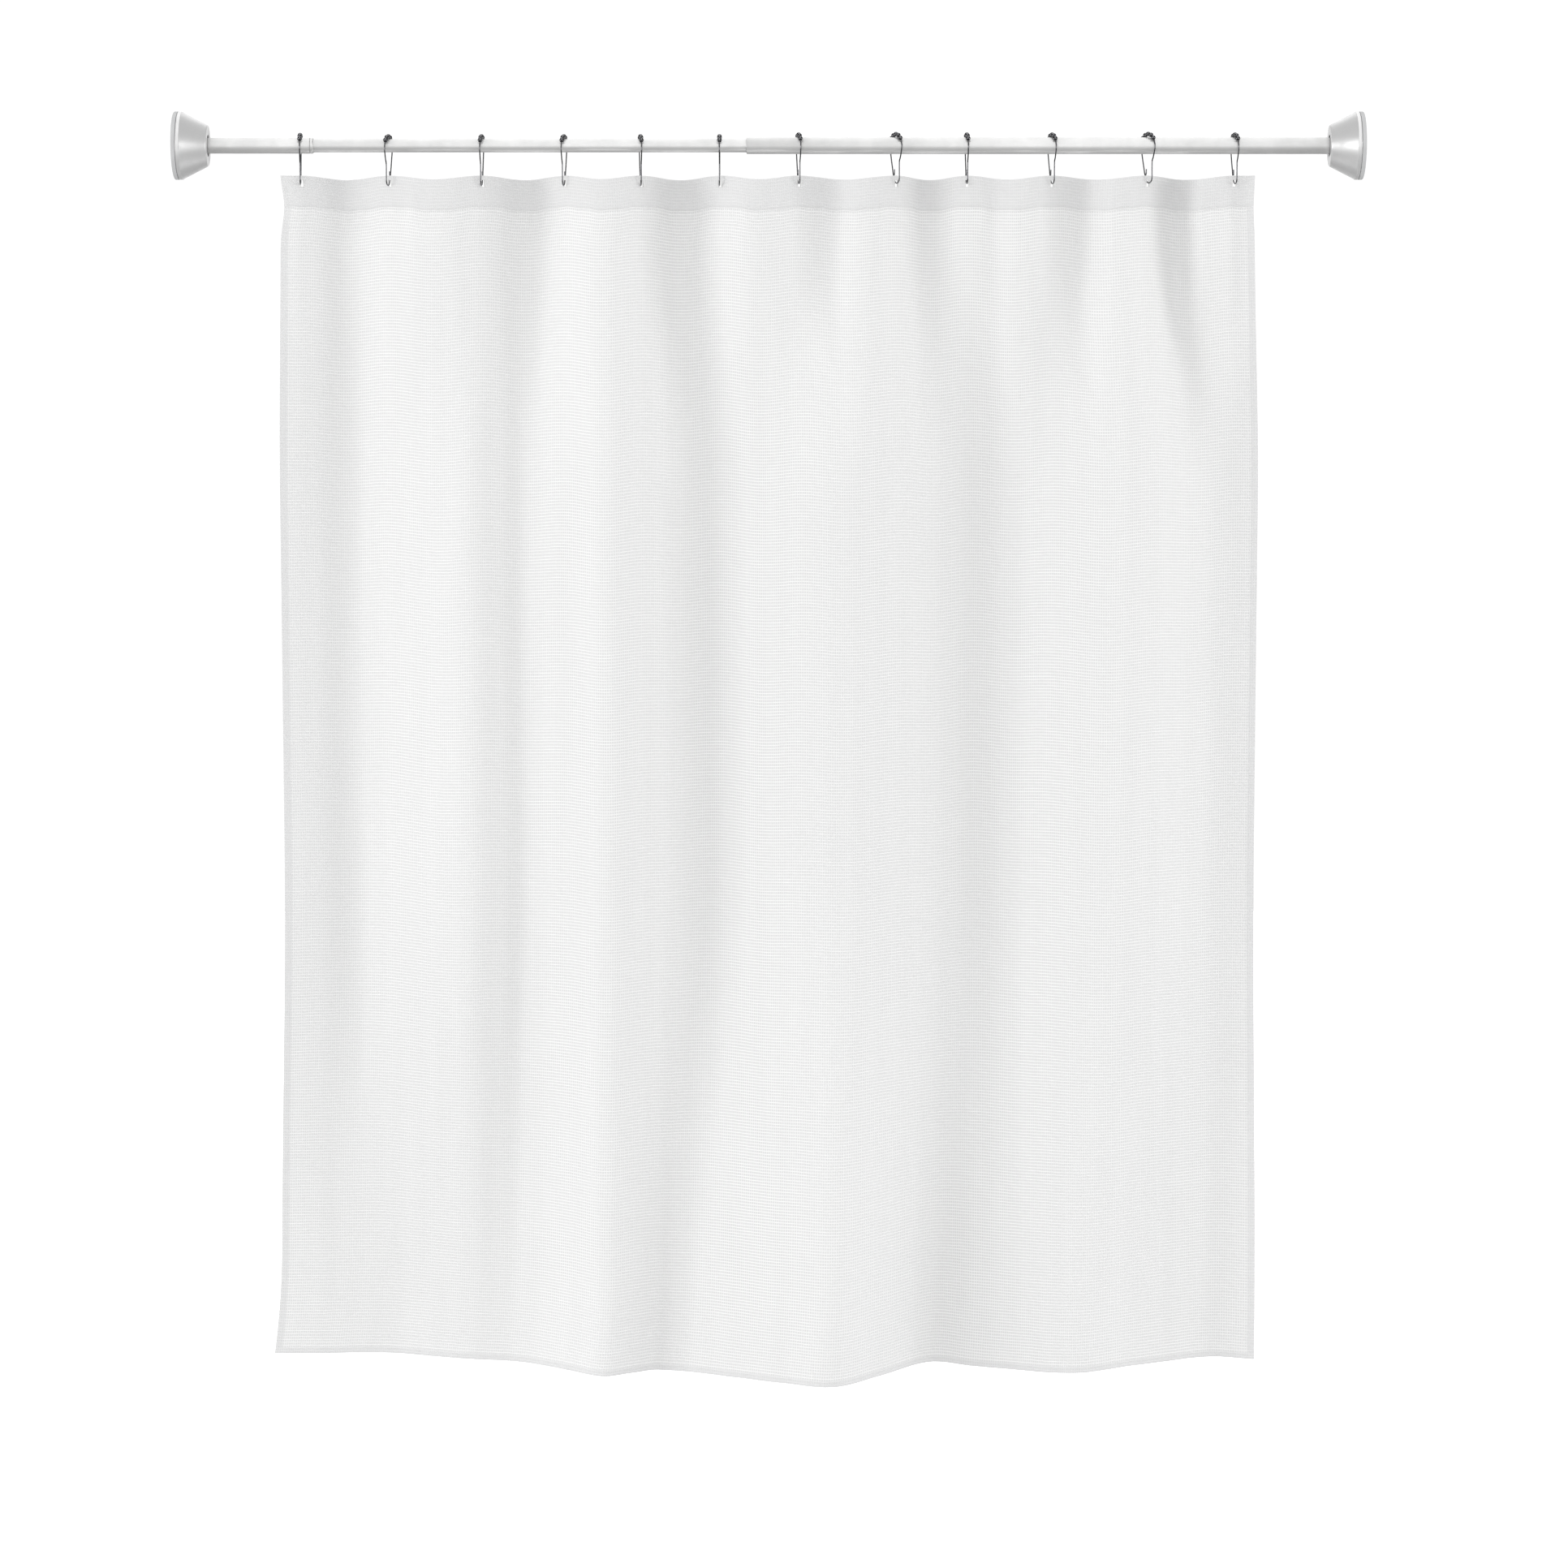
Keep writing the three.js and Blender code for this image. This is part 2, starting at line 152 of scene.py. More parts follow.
def copy_piece(source: bpy.types.Object, name: str) -> bpy.types.Object:
    """Copies a piece with a mesh of its own.

    Args:
        source: The piece to copy.
        name: The copy's name.

    Returns:
        The copy.
    """
    take(source)
    bpy.ops.object.duplicate(linked=False)
    return added(name)


def turned(name: str, profile: Profile, sides: int = 96) -> bpy.types.Object:
    """Turns a closed profile about the rod axis, ring by ring, as on a lathe.

    Args:
        name: The piece's name.
        profile: Points of (distance along the rod, radius) in metres, none on the axis.
        sides: Facets round the piece.

    Returns:
        The turned piece.
    """
    deselect_all()
    along, radius = profile[0]
    bpy.ops.mesh.primitive_circle_add(
        vertices=sides, radius=radius, location=(along, 0, 0), rotation=(0, math.pi / 2, 0)
    )
    piece = settle(added(name))
    bpy.ops.object.mode_set(mode="EDIT")
    bpy.ops.mesh.select_all(action="SELECT")
    for next_along, next_radius in profile[1:]:
        step = (next_along - along, 0, 0)
        bpy.ops.mesh.extrude_edges_move(TRANSFORM_OT_translate={"value": step})
        share = next_radius / radius
        bpy.ops.transform.resize(value=(1, share, share), center_override=(next_along, 0, 0))
        along, radius = next_along, next_radius
    bpy.ops.mesh.select_all(action="DESELECT")
    bpy.ops.mesh.select_non_manifold()
    bpy.ops.mesh.bridge_edge_loops()
    face_outwards()
    return piece


def swept(name: str, points: Sequence[Vector], radius: float, sides: int) -> bpy.types.Object:
    """Bends a round wire along points.

    Args:
        name: The piece's name.
        points: The wire's centre line in metres.
        radius: The wire's radius in metres.
        sides: Facets round the wire, a multiple of 4.

    Returns:
        The wire as a closed mesh.
    """
    deselect_all()
    bpy.ops.curve.primitive_bezier_curve_add(radius=1, location=(0, 0, 0))
    wire = added(name)
    curve = wire.data
    spline = curve.splines[0]
    spline.bezier_points.add(len(points) - 2)
    for knot, point in zip(spline.bezier_points, points):
        knot.co = point
        knot.handle_left_type = "AUTO"
        knot.handle_right_type = "AUTO"
    curve.dimensions = "3D"
    curve.twist_mode = "MINIMUM"
    curve.resolution_u = 4
    curve.bevel_depth = radius
    curve.bevel_resolution = sides // 4 - 1
    curve.use_fill_caps = True
    take(wire)
    bpy.ops.object.convert(target="MESH")
    wire = added(name)
    bpy.ops.object.mode_set(mode="EDIT")
    bpy.ops.mesh.select_all(action="SELECT")
    bpy.ops.mesh.remove_doubles(threshold=1e-6)
    face_outwards()
    bpy.ops.object.shade_smooth_by_angle(angle=math.radians(50))
    return wire


def face_outwards() -> None:
    """Turns every face of the piece in edit mode outwards, and leaves edit mode."""
    bpy.ops.mesh.select_all(action="SELECT")
    bpy.ops.mesh.normals_make_consistent(inside=False)
    bpy.ops.object.mode_set(mode="OBJECT")


# ------------------------------------------------------------------ shader building
class Graph:
    """Adds and links nodes in a material or a shader group."""

    def __init__(self, tree: bpy.types.NodeTree) -> None:
        """Works in one node tree."""
        self.tree = tree

    def node(self, kind: str, **settings: object) -> bpy.types.Node:
        """Adds a node.

        Args:
            kind: The node's type, without ShaderNode.
            settings: Properties of the node.

        Returns:
            The node.
        """
        made = self.tree.nodes.new(f"ShaderNode{kind}")
        for name, value in settings.items():
            setattr(made, name, value)
        return made

    def feed(self, socket: NodeLink, value: NodeLink | float | Sequence[float]) -> None:
        """Links a socket to another, or sets its value."""
        if isinstance(value, bpy.types.NodeSocket):
            self.tree.links.new(value, socket)
        else:
            socket.default_value = value

    def math(self, operation: str, *values: NodeLink | float) -> NodeLink:
        """Adds a Math node.

        Args:
            operation: The operation's name.
            values: Its inputs.

        Returns:
            The result.
        """
        made = self.node("Math", operation=operation)
        for socket, value in zip(made.inputs, values):
            self.feed(socket, value)
        return made.outputs[0]

    def mix(self, share: NodeLink | float, first: object, second: object) -> NodeLink:
        """Mixes two colours.

        Args:
            share: Weight of the second colour.
            first: Colour or socket at 0.
            second: Colour or socket at 1.

        Returns:
            The mixed colour.
        """
        made = self.node("Mix", data_type="RGBA")
        self.feed(made.inputs["Factor"], share)
        self.feed(made.inputs[6], first)
        self.feed(made.inputs[7], second)
        return made.outputs[2]

    def remap(self, value: NodeLink, low: float, high: float, start: float, end: float) -> NodeLink:
        """Maps a range of values to another, clamped.

        Args:
            value: The value to map.
            low: Input mapped to start.
            high: Input mapped to end.
            start: First output.
            end: Last output.

        Returns:
            The mapped value.
        """
        made = self.node("MapRange")
        for socket, number in zip(made.inputs, (value, low, high, start, end)):
            self.feed(socket, number)
        return made.outputs[0]

    def noise(self, place: NodeLink, scale: float, detail: float = 3, roughness: float = 0.5) -> NodeLink:
        """Adds a Noise Texture.

        Args:
            place: Coordinates to read.
            scale: Features per metre.
            detail: Octaves.
            roughness: Share kept by each octave.

        Returns:
            The noise value.
        """
        made = self.node("TexNoise")
        self.feed(made.inputs["Vector"], place)
        self.feed(made.inputs["Scale"], scale)
        self.feed(made.inputs["Detail"], detail)
        self.feed(made.inputs["Roughness"], roughness)
        return made.outputs["Fac"]

    def bump(self, shader: bpy.types.Node, height: NodeLink, strength: float, depth: float) -> None:
        """Feeds a height to a shader's normal.

        Args:
            shader: The Principled shader.
            height: The height, about 0 to 1.
            strength: Weight of the bump.
            depth: Height of 1 in metres.
        """
        made = self.node("Bump")
        made.inputs["Strength"].default_value = strength
        made.inputs["Distance"].default_value = depth
        self.feed(made.inputs["Height"], height)
        self.feed(shader.inputs["Normal"], made.outputs[0])

    def stretched(self, place: NodeLink, scale: Sequence[float]) -> NodeLink:
        """Scales coordinates along each axis.

        Args:
            place: Coordinates to scale.
            scale: Factors along X, Y and Z.

        Returns:
            The scaled coordinates.
        """
        made = self.node("Mapping")
        self.feed(made.inputs["Vector"], place)
        made.inputs["Scale"].default_value = scale
        return made.outputs[0]


def shader_group(
    name: str, inputs: dict[str, float], outputs: Sequence[str]
) -> tuple[Graph, bpy.types.Node, bpy.types.Node]:
    """Starts a shader node group that reads coordinates and numbers.

    Args:
        name: The group's name.
        inputs: Names and first values of the numbers that it takes.
        outputs: Names of the values that it gives.

    Returns:
        The group's graph, its input node and its output node.
    """
    tree = bpy.data.node_groups.new(name, "ShaderNodeTree")
    tree.interface.new_socket("Place", in_out="INPUT", socket_type="NodeSocketVector")
    for label, value in inputs.items():
        socket = tree.interface.new_socket(label, in_out="INPUT", socket_type="NodeSocketFloat")
        socket.default_value = value
    for label in outputs:
        tree.interface.new_socket(label, in_out="OUTPUT", socket_type="NodeSocketFloat")
    return Graph(tree), tree.nodes.new("NodeGroupInput"), tree.nodes.new("NodeGroupOutput")


def handling_group() -> bpy.types.NodeTree:
    """Builds the group for smudges and fine scuffs on hard surfaces.

    Returns:
        A group that gives Smudge and Scuff, both from 0 to 1.
    """
    scales = {"Smudge Scale": 30.0, "Scuff Scale": 400.0}
    graph, start, end = shader_group("handling_marks", scales, ("Smudge", "Scuff"))
    smudge = graph.noise(start.outputs["Place"], 1.0, 4, 0.6)
    graph.feed(smudge.node.inputs["Scale"], start.outputs["Smudge Scale"])
    scuff = graph.noise(start.outputs["Place"], 1.0, 2, 0.7)
    graph.feed(scuff.node.inputs["Scale"], start.outputs["Scuff Scale"])
    graph.feed(end.inputs["Smudge"], graph.remap(smudge, 0.35, 0.7, 0.0, 1.0))
    graph.feed(end.inputs["Scuff"], graph.remap(scuff, 0.55, 0.75, 0.0, 1.0))
    return graph.tree


def waffle_group() -> bpy.types.NodeTree:
    """Builds the waffle weave: raised floats round sunk cells, over fine threads.

    Returns:
        A group that gives Height and Hollow from cloth coordinates in metres.
    """
    graph, start, end = shader_group(
        "waffle_weave",
        {"Cell Width": 0.0039, "Cell Height": 0.0047, "Thread": 0.00055},
        ("Height", "Hollow"),
    )
    split = graph.node("SeparateXYZ")
    graph.feed(split.inputs[0], start.outputs["Place"])
    along, down = split.outputs[0], split.outputs[1]

    def ridge(value: NodeLink, pitch: NodeLink) -> NodeLink:
        """Wave that is 1 on a ridge and 0 half a pitch away."""
        turn = graph.math("MULTIPLY", graph.math("DIVIDE", value, pitch), 2 * math.pi)
        return graph.math("MULTIPLY_ADD", graph.math("COSINE", turn), 0.5, 0.5)

    floats = graph.math("POWER", ridge(down, start.outputs["Cell Height"]), 4.0)
    ribs = graph.math("POWER", ridge(along, start.outputs["Cell Width"]), 5.0)
    wall = graph.math("MAXIMUM", floats, graph.math("MULTIPLY", ribs, 0.75))
    weft = ridge(down, start.outputs["Thread"])
    warp = ridge(along, start.outputs["Thread"])
    thread = graph.math("MULTIPLY", graph.math("ADD", weft, warp), 0.5)
    height = graph.math("MULTIPLY_ADD", thread, 0.14, wall)
    graph.feed(end.inputs["Height"], height)
    graph.feed(end.inputs["Hollow"], graph.math("SUBTRACT", 1.0, wall))
    return graph.tree


class Groups:
    """The shader groups, each built once."""

    def __init__(self) -> None:
        """Builds every group."""
        self.handling = handling_group()
        self.waffle = waffle_group()

    @staticmethod
    def place(graph: Graph, tree: bpy.types.NodeTree, where: NodeLink, **values: float) -> bpy.types.Node:
        """Puts a group into a material.

        Args:
            graph: The material's graph.
            tree: The group.
            where: Coordinates for the group.
            values: Numbers for its other inputs, with _ for a space.

        Returns:
            The group node.
        """
        made = graph.node("Group")
        made.node_tree = tree
        graph.feed(made.inputs["Place"], where)
        for label, value in values.items():
            made.inputs[label.replace("_", " ").title()].default_value = value
        return made


def new_material(name: str) -> tuple[bpy.types.Material, Graph, bpy.types.Node]:
    """Starts a material with one Principled shader.

    Args:
        name: The material's name.

    Returns:
        The material, its graph and its shader.
    """
    material = bpy.data.materials.new(name)
    material.use_nodes = True
    graph = Graph(material.node_tree)
    return material, graph, material.node_tree.nodes["Principled BSDF"]


def worn_color(
    graph: Graph, shader: bpy.types.Node, color: Sequence[float], dulling: float, smudge: NodeLink
) -> None:
    """Sets a base colour that is darker where the surface is smudged.

    Args:
        graph: The material's graph.
        shader: Its Principled shader.
        color: The clean colour.
        dulling: Share of the colour left under a smudge.
        smudge: Where the smudges are, from 0 to 1.
    """
    dulled = [channel * dulling for channel in color]
    graph.feed(shader.inputs["Base Color"], graph.mix(smudge, (*color, 1), (*dulled, 1)))


@dataclass(frozen=True)
class MetalFinish:
    """A bare, plated or lacquered metal, with a grain drawn along the rod or none."""

    name: str
    color: tuple[float, float, float]
    roughness: float
    grain: float = 0.0
    metallic: float = 1.0

    def build(self, groups: Groups) -> bpy.types.Material:
        """Makes the material.

        Args:
            groups: The shared shader groups.

        Returns:
            The material.
        """
        material, graph, shader = new_material(self.name)
        place = graph.node("TexCoord").outputs["Object"]
        marks = Groups.place(graph, groups.handling, place, smudge_scale=28, scuff_scale=900)
        smudge, scuff = marks.outputs["Smudge"], marks.outputs["Scuff"]
        worn_color(graph, shader, self.color, 0.9, smudge)
        rough = graph.math("MULTIPLY_ADD", smudge, 0.08, self.roughness)
        height = scuff
        if self.grain:
            drawn = graph.noise(graph.stretched(place, (12, 2600, 2600)), 1.0, 3, 0.7)
            rough = graph.math("MULTIPLY_ADD", drawn, self.grain, rough)
            height = graph.math("ADD", graph.math("MULTIPLY", drawn, 2.0), scuff)
        graph.feed(shader.inputs["Roughness"], rough)
        graph.bump(shader, height, 0.25, 0.02 * MM)
        shader.inputs["Metallic"].default_value = self.metallic
        return material


@dataclass(frozen=True)
class MouldedFinish:
    """A moulded plastic or rubber surface with a fine moulding texture."""

    name: str
    color: tuple[float, float, float]
    roughness: float
    texture_scale: float
    texture_depth: float
    metallic: float = 0.0

    def build(self, groups: Groups) -> bpy.types.Material:
        """Makes the material.

        Args:
            groups: The shared shader groups.

        Returns:
            The material.
        """
        material, graph, shader = new_material(self.name)
        place = graph.node("TexCoord").outputs["Object"]
        marks = Groups.place(graph, groups.handling, place, smudge_scale=40, scuff_scale=500)
        worn_color(graph, shader, self.color, 0.93, marks.outputs["Smudge"])
        rough = graph.math("MULTIPLY_ADD", marks.outputs["Smudge"], 0.1, self.roughness)
        graph.feed(shader.inputs["Roughness"], rough)
        texture = graph.noise(place, self.texture_scale, 3, 0.6)
        height = graph.math("MULTIPLY_ADD", marks.outputs["Scuff"], 0.3, texture)
        graph.bump(shader, height, 0.4, self.texture_depth)
        shader.inputs["Metallic"].default_value = self.metallic
        return material


@dataclass(frozen=True)
class WaffleCloth:
    """White waffle-weave cloth, with painted shade: greyer where it is folded double and in the weave's
    sunk cells.
    """

    name: str = "waffle_cloth"
    color: tuple[float, float, float] = (0.99, 0.99, 0.985)
    # Painted shade: the weave's sunk cells get a grey base colour for the shade that falls in them.
    hollow_shade_color: tuple[float, float, float] = (0.74, 0.74, 0.742)
    # Painted shade: the header and hems, where the cloth is folded double, are painted greyer in place of
    # the light that a single layer lets through.
    double_shade_color: tuple[float, float, float] = (0.72, 0.72, 0.725)
    weave_depth: float = 0.9 * MM

    def build(self, groups: Groups) -> bpy.types.Material:
        """Makes the material.

        Args:
            groups: The shared shader groups.

        Returns:
            The material.
        """
        material, graph, shader = new_material(self.name)
        cloth = graph.node("UVMap", uv_map="cloth").outputs[0]
        warp = graph.noise(cloth, 14.0, 2, 0.5)
        sway = graph.node("VectorMath", operation="MULTIPLY_ADD")
        graph.feed(sway.inputs[0], warp)
        sway.inputs[1].default_value = (0.0016, 0.0022, 0)
        graph.feed(sway.inputs[2], cloth)
        weave = Groups.place(graph, groups.waffle, sway.outputs[0])
        # Painted shade: grey mixed into the weave's sunk cells.
        shaded_tone = graph.mix(weave.outputs["Hollow"], (*self.color, 1), (*self.hollow_shade_color, 1))
        # Painted shade: greyer where the cloth is folded double, standing in for the backlight that two
        # layers hold back.
        folded = graph.node("Attribute", attribute_name="double").outputs["Fac"]
        shaded_tone = graph.mix(graph.math("MULTIPLY", folded, 0.55), shaded_tone, (*self.double_shade_color, 1))
        blotch = graph.remap(graph.noise(cloth, 9.0, 4, 0.6), 0.3, 0.7, 0.0, 0.05)
        graph.feed(shader.inputs["Base Color"], graph.mix(blotch, shaded_tone, (0.7, 0.71, 0.72, 1)))
        rough = graph.math("MULTIPLY_ADD", weave.outputs["Hollow"], 0.08, 0.86)
        graph.feed(shader.inputs["Roughness"], rough)
        graph.bump(shader, weave.outputs["Height"], 0.8, self.weave_depth)
        shader.inputs["Sheen Weight"].default_value = 0.08
        shader.inputs["Specular IOR Level"].default_value = 0.25
        return material


@dataclass(frozen=True)
class ThreadFinish:
    """Twisted sewing thread."""

    name: str = "sewing_thread"
    color: tuple[float, float, float] = (0.83, 0.83, 0.825)

    def build(self, groups: Groups) -> bpy.types.Material:
        """Makes the material.

        Args:
            groups: The shared shader groups.

        Returns:
            The material.
        """
        material, graph, shader = new_material(self.name)
        place = graph.node("TexCoord").outputs["Object"]
        twist = graph.noise(graph.stretched(place, (2200, 2200, 900)), 1.0, 2, 0.5)
        marks = Groups.place(graph, groups.handling, place, smudge_scale=60, scuff_scale=2500)
        worn_color(graph, shader, self.color, 0.85, marks.outputs["Smudge"])
        rough = graph.math("MULTIPLY_ADD", marks.outputs["Scuff"], 0.1, 0.7)
        graph.feed(shader.inputs["Roughness"], rough)
        graph.bump(shader, twist, 0.5, 0.08 * MM)
        return material


class Finishes:
    """Every material of the assembly."""

    def __init__(self) -> None:
        """Builds the materials."""
        groups = Groups()
        metals = (
            MetalFinish("satin_steel_tube", (0.84, 0.84, 0.835), 0.34, grain=0.04, metallic=0.6),
            MetalFinish("polished_chrome", (0.2, 0.2, 0.21), 0.05),
            MetalFinish("drawn_spring_wire", (0.42, 0.42, 0.43), 0.36),
        )
        mouldings = (
            MouldedFinish("satin_grey_flange", (0.8, 0.8, 0.8), 0.34, 2600, 0.02 * MM, metallic=0.5),
            MouldedFinish("black_moulding", (0.012, 0.012, 0.013), 0.45, 1800, 0.05 * MM),
            MouldedFinish("grey_pad_rubber", (0.52, 0.525, 0.53), 0.7, 3200, 0.08 * MM),
        )
        self.satin_tube, self.chrome, self.spring = [finish.build(groups) for finish in metals]
        self.flange, self.black, self.rubber = [finish.build(groups) for finish in mouldings]
        self.cloth = WaffleCloth().build(groups)
        self.thread = ThreadFinish().build(groups)


def dress(piece: bpy.types.Object, material: bpy.types.Material, body: str) -> bpy.types.Object:
    """Gives a piece its material and the body that it rides on.

    Args:
        piece: The finished piece.
        material: Its material.
        body: The moving body's name.

    Returns:
        The same piece.
    """
    piece.data.materials.clear()
    piece.data.materials.append(material)
    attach(piece, body)
    LOG.info("%s rides on %s", piece.name, body)
    return piece


# ------------------------------------------------------------------ tension rod
class Side(Enum):
    """The two ends of the rod, by the body that each belongs to."""

    LEFT = "left_end"
    RIGHT = "right_end"

    @property
    def prefix(self) -> str:
        """The word that its pieces' names start with."""
        return self.name.lower()


@dataclass
class WallFlange:
    """A wall pad, its cover and the socket that holds the tube, with a bore for each side."""

    side: Side
    finishes: Finishes
    rim_length: float = 5.8 * MM
    wall: float = 2.2 * MM
    nose_radius: float = 32 * MM
    foot_radius: float = 40 * MM
    foot_thickness: float = 3 * MM
    barrel_radius: float = 16.2 * MM
    barrel_gap: float = 0.3 * MM
    socket_floor: float = 4.5 * MM
    ring_depth: float = 0.8 * MM
    pole_radius: float = 0.05 * MM
    bores: tuple[float, float] = (12.3 * MM, 13 * MM)

    def place(self, profile: Profile) -> Profile:
        """Puts a profile, drawn from the left wall, at this side's wall.

        Args:
            profile: Points of (distance from the wall, radius).

        Returns:
            The profile along the rod.
        """
        if self.side is Side.LEFT:
            return profile
        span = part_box("right_wall_pad")[1].x
        return [(span - along, radius) for along, radius in profile]

    def reach(self, node: str) -> tuple[float, float, float]:
        """Measures a turned CAD node.

        Args:
            node: The node's name without its side.

        Returns:
            Its nearest and farthest distance from its wall, and its radius.
        """
        low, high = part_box(f"{self.side.prefix}_{node}")
        radius = (high.z - low.z) / 2
        if self.side is Side.LEFT:
            return low.x, high.x, radius
        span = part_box("right_wall_pad")[1].x
        return span - high.x, span - low.x, radius

    def pad(self) -> bpy.types.Object:
        """Models the non-slip pad, with rings moulded in its wall face."""
        start, end, radius = self.reach("wall_pad")
        rings = [(radius * share, radius * (share + 0.05)) for share in (0.85, 0.65, 0.45, 0.25)]
        profile = [(end, radius), (start + MM, radius), (start, radius - MM)]
        for inner, outer in rings:
            depth = start + self.ring_depth
            profile += [(start, outer), (depth, outer - 0.4 * MM)]
            profile += [(depth, inner + 0.4 * MM), (start, inner)]
        profile += [(start, self.pole_radius), (end, self.pole_radius)]
        piece = turned(f"{self.side.prefix}_pad", self.place(profile), 128)
        return round_edges(piece, 0.35 * MM)

    def cover(self) -> bpy.types.Object:
        """Models the conical cover shell with its straight rim and groove."""
        start, end, radius = self.reach("flange_cover")
        rim = start + self.rim_length
        inside = radius - self.wall
        hole = self.barrel_radius + self.barrel_gap
        profile = [
            (start, inside), (start, radius - 0.9 * MM), (start + 0.9 * MM, radius), (rim, radius),
            (rim + 1.2 * MM, radius - 1.4 * MM), (end - 1.6 * MM, self.nose_radius),
            (end, self.nose_radius - 1.4 * MM), (end, hole), (end - self.wall, hole),
            (end - self.wall, self.nose_radius - self.wall), (rim, inside),
        ]
        piece = turned(f"{self.side.prefix}_cover", self.place(profile), 160)
        return round_edges(piece, 0.7 * MM, 4)

    def socket(self) -> bpy.types.Object:
        """Models the black socket: a foot behind the cover and a barrel round the tube."""
        start, end, _ = self.reach("flange_socket")
        foot = start + self.foot_thickness
        floor = start + self.socket_floor
        barrel, pole = self.barrel_radius, self.pole_radius
        bore = self.bores[0] if self.side is Side.LEFT else self.bores[1]
        profile = [
            (start, pole), (start, self.foot_radius), (foot, self.foot_radius), (foot, barrel),
            (end, barrel), (end, bore), (floor, bore), (floor, pole),
        ]
        piece = turned(f"{self.side.prefix}_socket", self.place(profile), 96)
        return round_edges(piece, 0.4 * MM)

    def build(self) -> list[bpy.types.Object]:
        """Models and dresses the flange.

        Returns:
            The flange's pieces.
        """
        body = self.side.value
        made = (
            (self.pad(), "wall_pad", self.finishes.rubber, "wall_pad"),
            (self.cover(), "flange_cover", self.finishes.flange, "flange_cover"),
            (self.socket(), "flange_socket", self.finishes.black, "black_plastic"),
        )
        pieces = []
        for piece, node, material, slot in made:
            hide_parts(f"{self.side.prefix}_{node}")
            pieces.append(dress(piece, material, body))
        return pieces


@dataclass
class RodTubes:
    """The sleeve, collar, thin tube and thick tube, with the pieces inside them."""

    finishes: Finishes
    sleeve_wall: float = 0.8 * MM
    inner_wall: float = 1.0 * MM
    outer_wall: float = 0.8 * MM
    running_gap: float = 0.3 * MM
    spring_wire: float = 0.9 * MM
    spring_turns: int = 8
    spring_fit: float = 0.95
    spring_travel: float = 18 * MM
    thick_lip: float = 0.5 * MM

    def tube(self, name: str, node: str, wall: float, roll: float = 0.0) -> bpy.types.Object:
        """Models a length of tube in a CAD node's place.

        Args:
            name: The piece's name.
            node: The CAD node.
            wall: The tube's wall.
            roll: Depth of the rolled-in lip at the left end, 0 for a plain cut.

        Returns:
            The tube.
        """
        low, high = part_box(node)
        radius = (high.z - low.z) / 2
        bore = radius - wall
        lip = [(low.x, bore), (low.x, radius)]
        if roll:
            lip = [(low.x + roll, bore), (low.x, bore + 0.15 * MM)]
            lip += [(low.x, radius - roll / 2), (low.x + roll, radius)]
        piece = turned(name, [*lip, (high.x, radius), (high.x, bore)], 96)
        return round_edges(piece, 0.2 * MM)

    def collar(self) -> bpy.types.Object:
        """Models the sleeve's end collar, stepped in at both edges."""
        low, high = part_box("sleeve_collar")
        radius = (high.z - low.z) / 2
        bore = (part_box("inner_tube")[1].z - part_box("inner_tube")[0].z) / 2 + self.running_gap
        step = 0.5 * MM
        profile = [
            (low.x, bore), (low.x, radius - step), (low.x + step, radius - step), (low.x + step, radius),
            (high.x - 2 * step, radius), (high.x, radius - 2 * step), (high.x, bore),
        ]
        return round_edges(turned("sleeve_end_collar", profile, 96), 0.2 * MM)

    def spring(self) -> bpy.types.Object:
        """Models the coil spring that pushes the thin tube out, with closed ends."""
        low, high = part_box("tension_spring")
        radius = (high.z - low.z) / 2 - self.spring_wire
        start, end = low.x + self.spring_wire, high.x - self.spring_wire
        steps_per_turn = 16
        count = self.spring_turns * steps_per_turn
        points = []
        for i in range(count + 1):
            share = i / count
            eased = share - math.sin(4 * math.pi * share) / (4 * math.pi) * 0.35
            angle = 2 * math.pi * i / steps_per_turn
            along = start + (end - start) * eased
            points.append(Vector((along, radius * math.cos(angle), radius * math.sin(angle))))
        return swept("coil_spring", points, self.spring_wire * self.spring_fit, 8)

    def build(self) -> list[bpy.types.Object]:
        """Models and dresses the tubes, and dresses the plugs inside them.

        Returns:
            The tubes' pieces.
        """
        satin = self.finishes.satin_tube
        thick_tube = ("thick_tube", "outer_tube", self.outer_wall, self.thick_lip)
        made = (
            (self.tube("left_sleeve", "spring_sleeve", self.sleeve_wall), "spring_sleeve", "left_end"),
            (self.collar(), "sleeve_collar", "left_end"),
            (self.tube("thin_tube", "inner_tube", self.inner_wall), "inner_tube", "inner_tube"),
            (self.tube(*thick_tube), "outer_tube", "outer_tube"),
        )
        pieces = []
        for piece, node, body in made:
            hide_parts(node)
            pieces.append(dress(piece, satin, body))
        spring = self.spring()
        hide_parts("tension_spring")
        dress(spring, self.finishes.spring, "left_end")
        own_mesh(spring)
        for node in ("spring_stop", "spring_seat", "lock_plug", "tube_mouth_guide"):
            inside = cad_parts[node]
            inside.data.materials.clear()
            inside.data.materials.append(self.finishes.black)
        return [*pieces, spring]


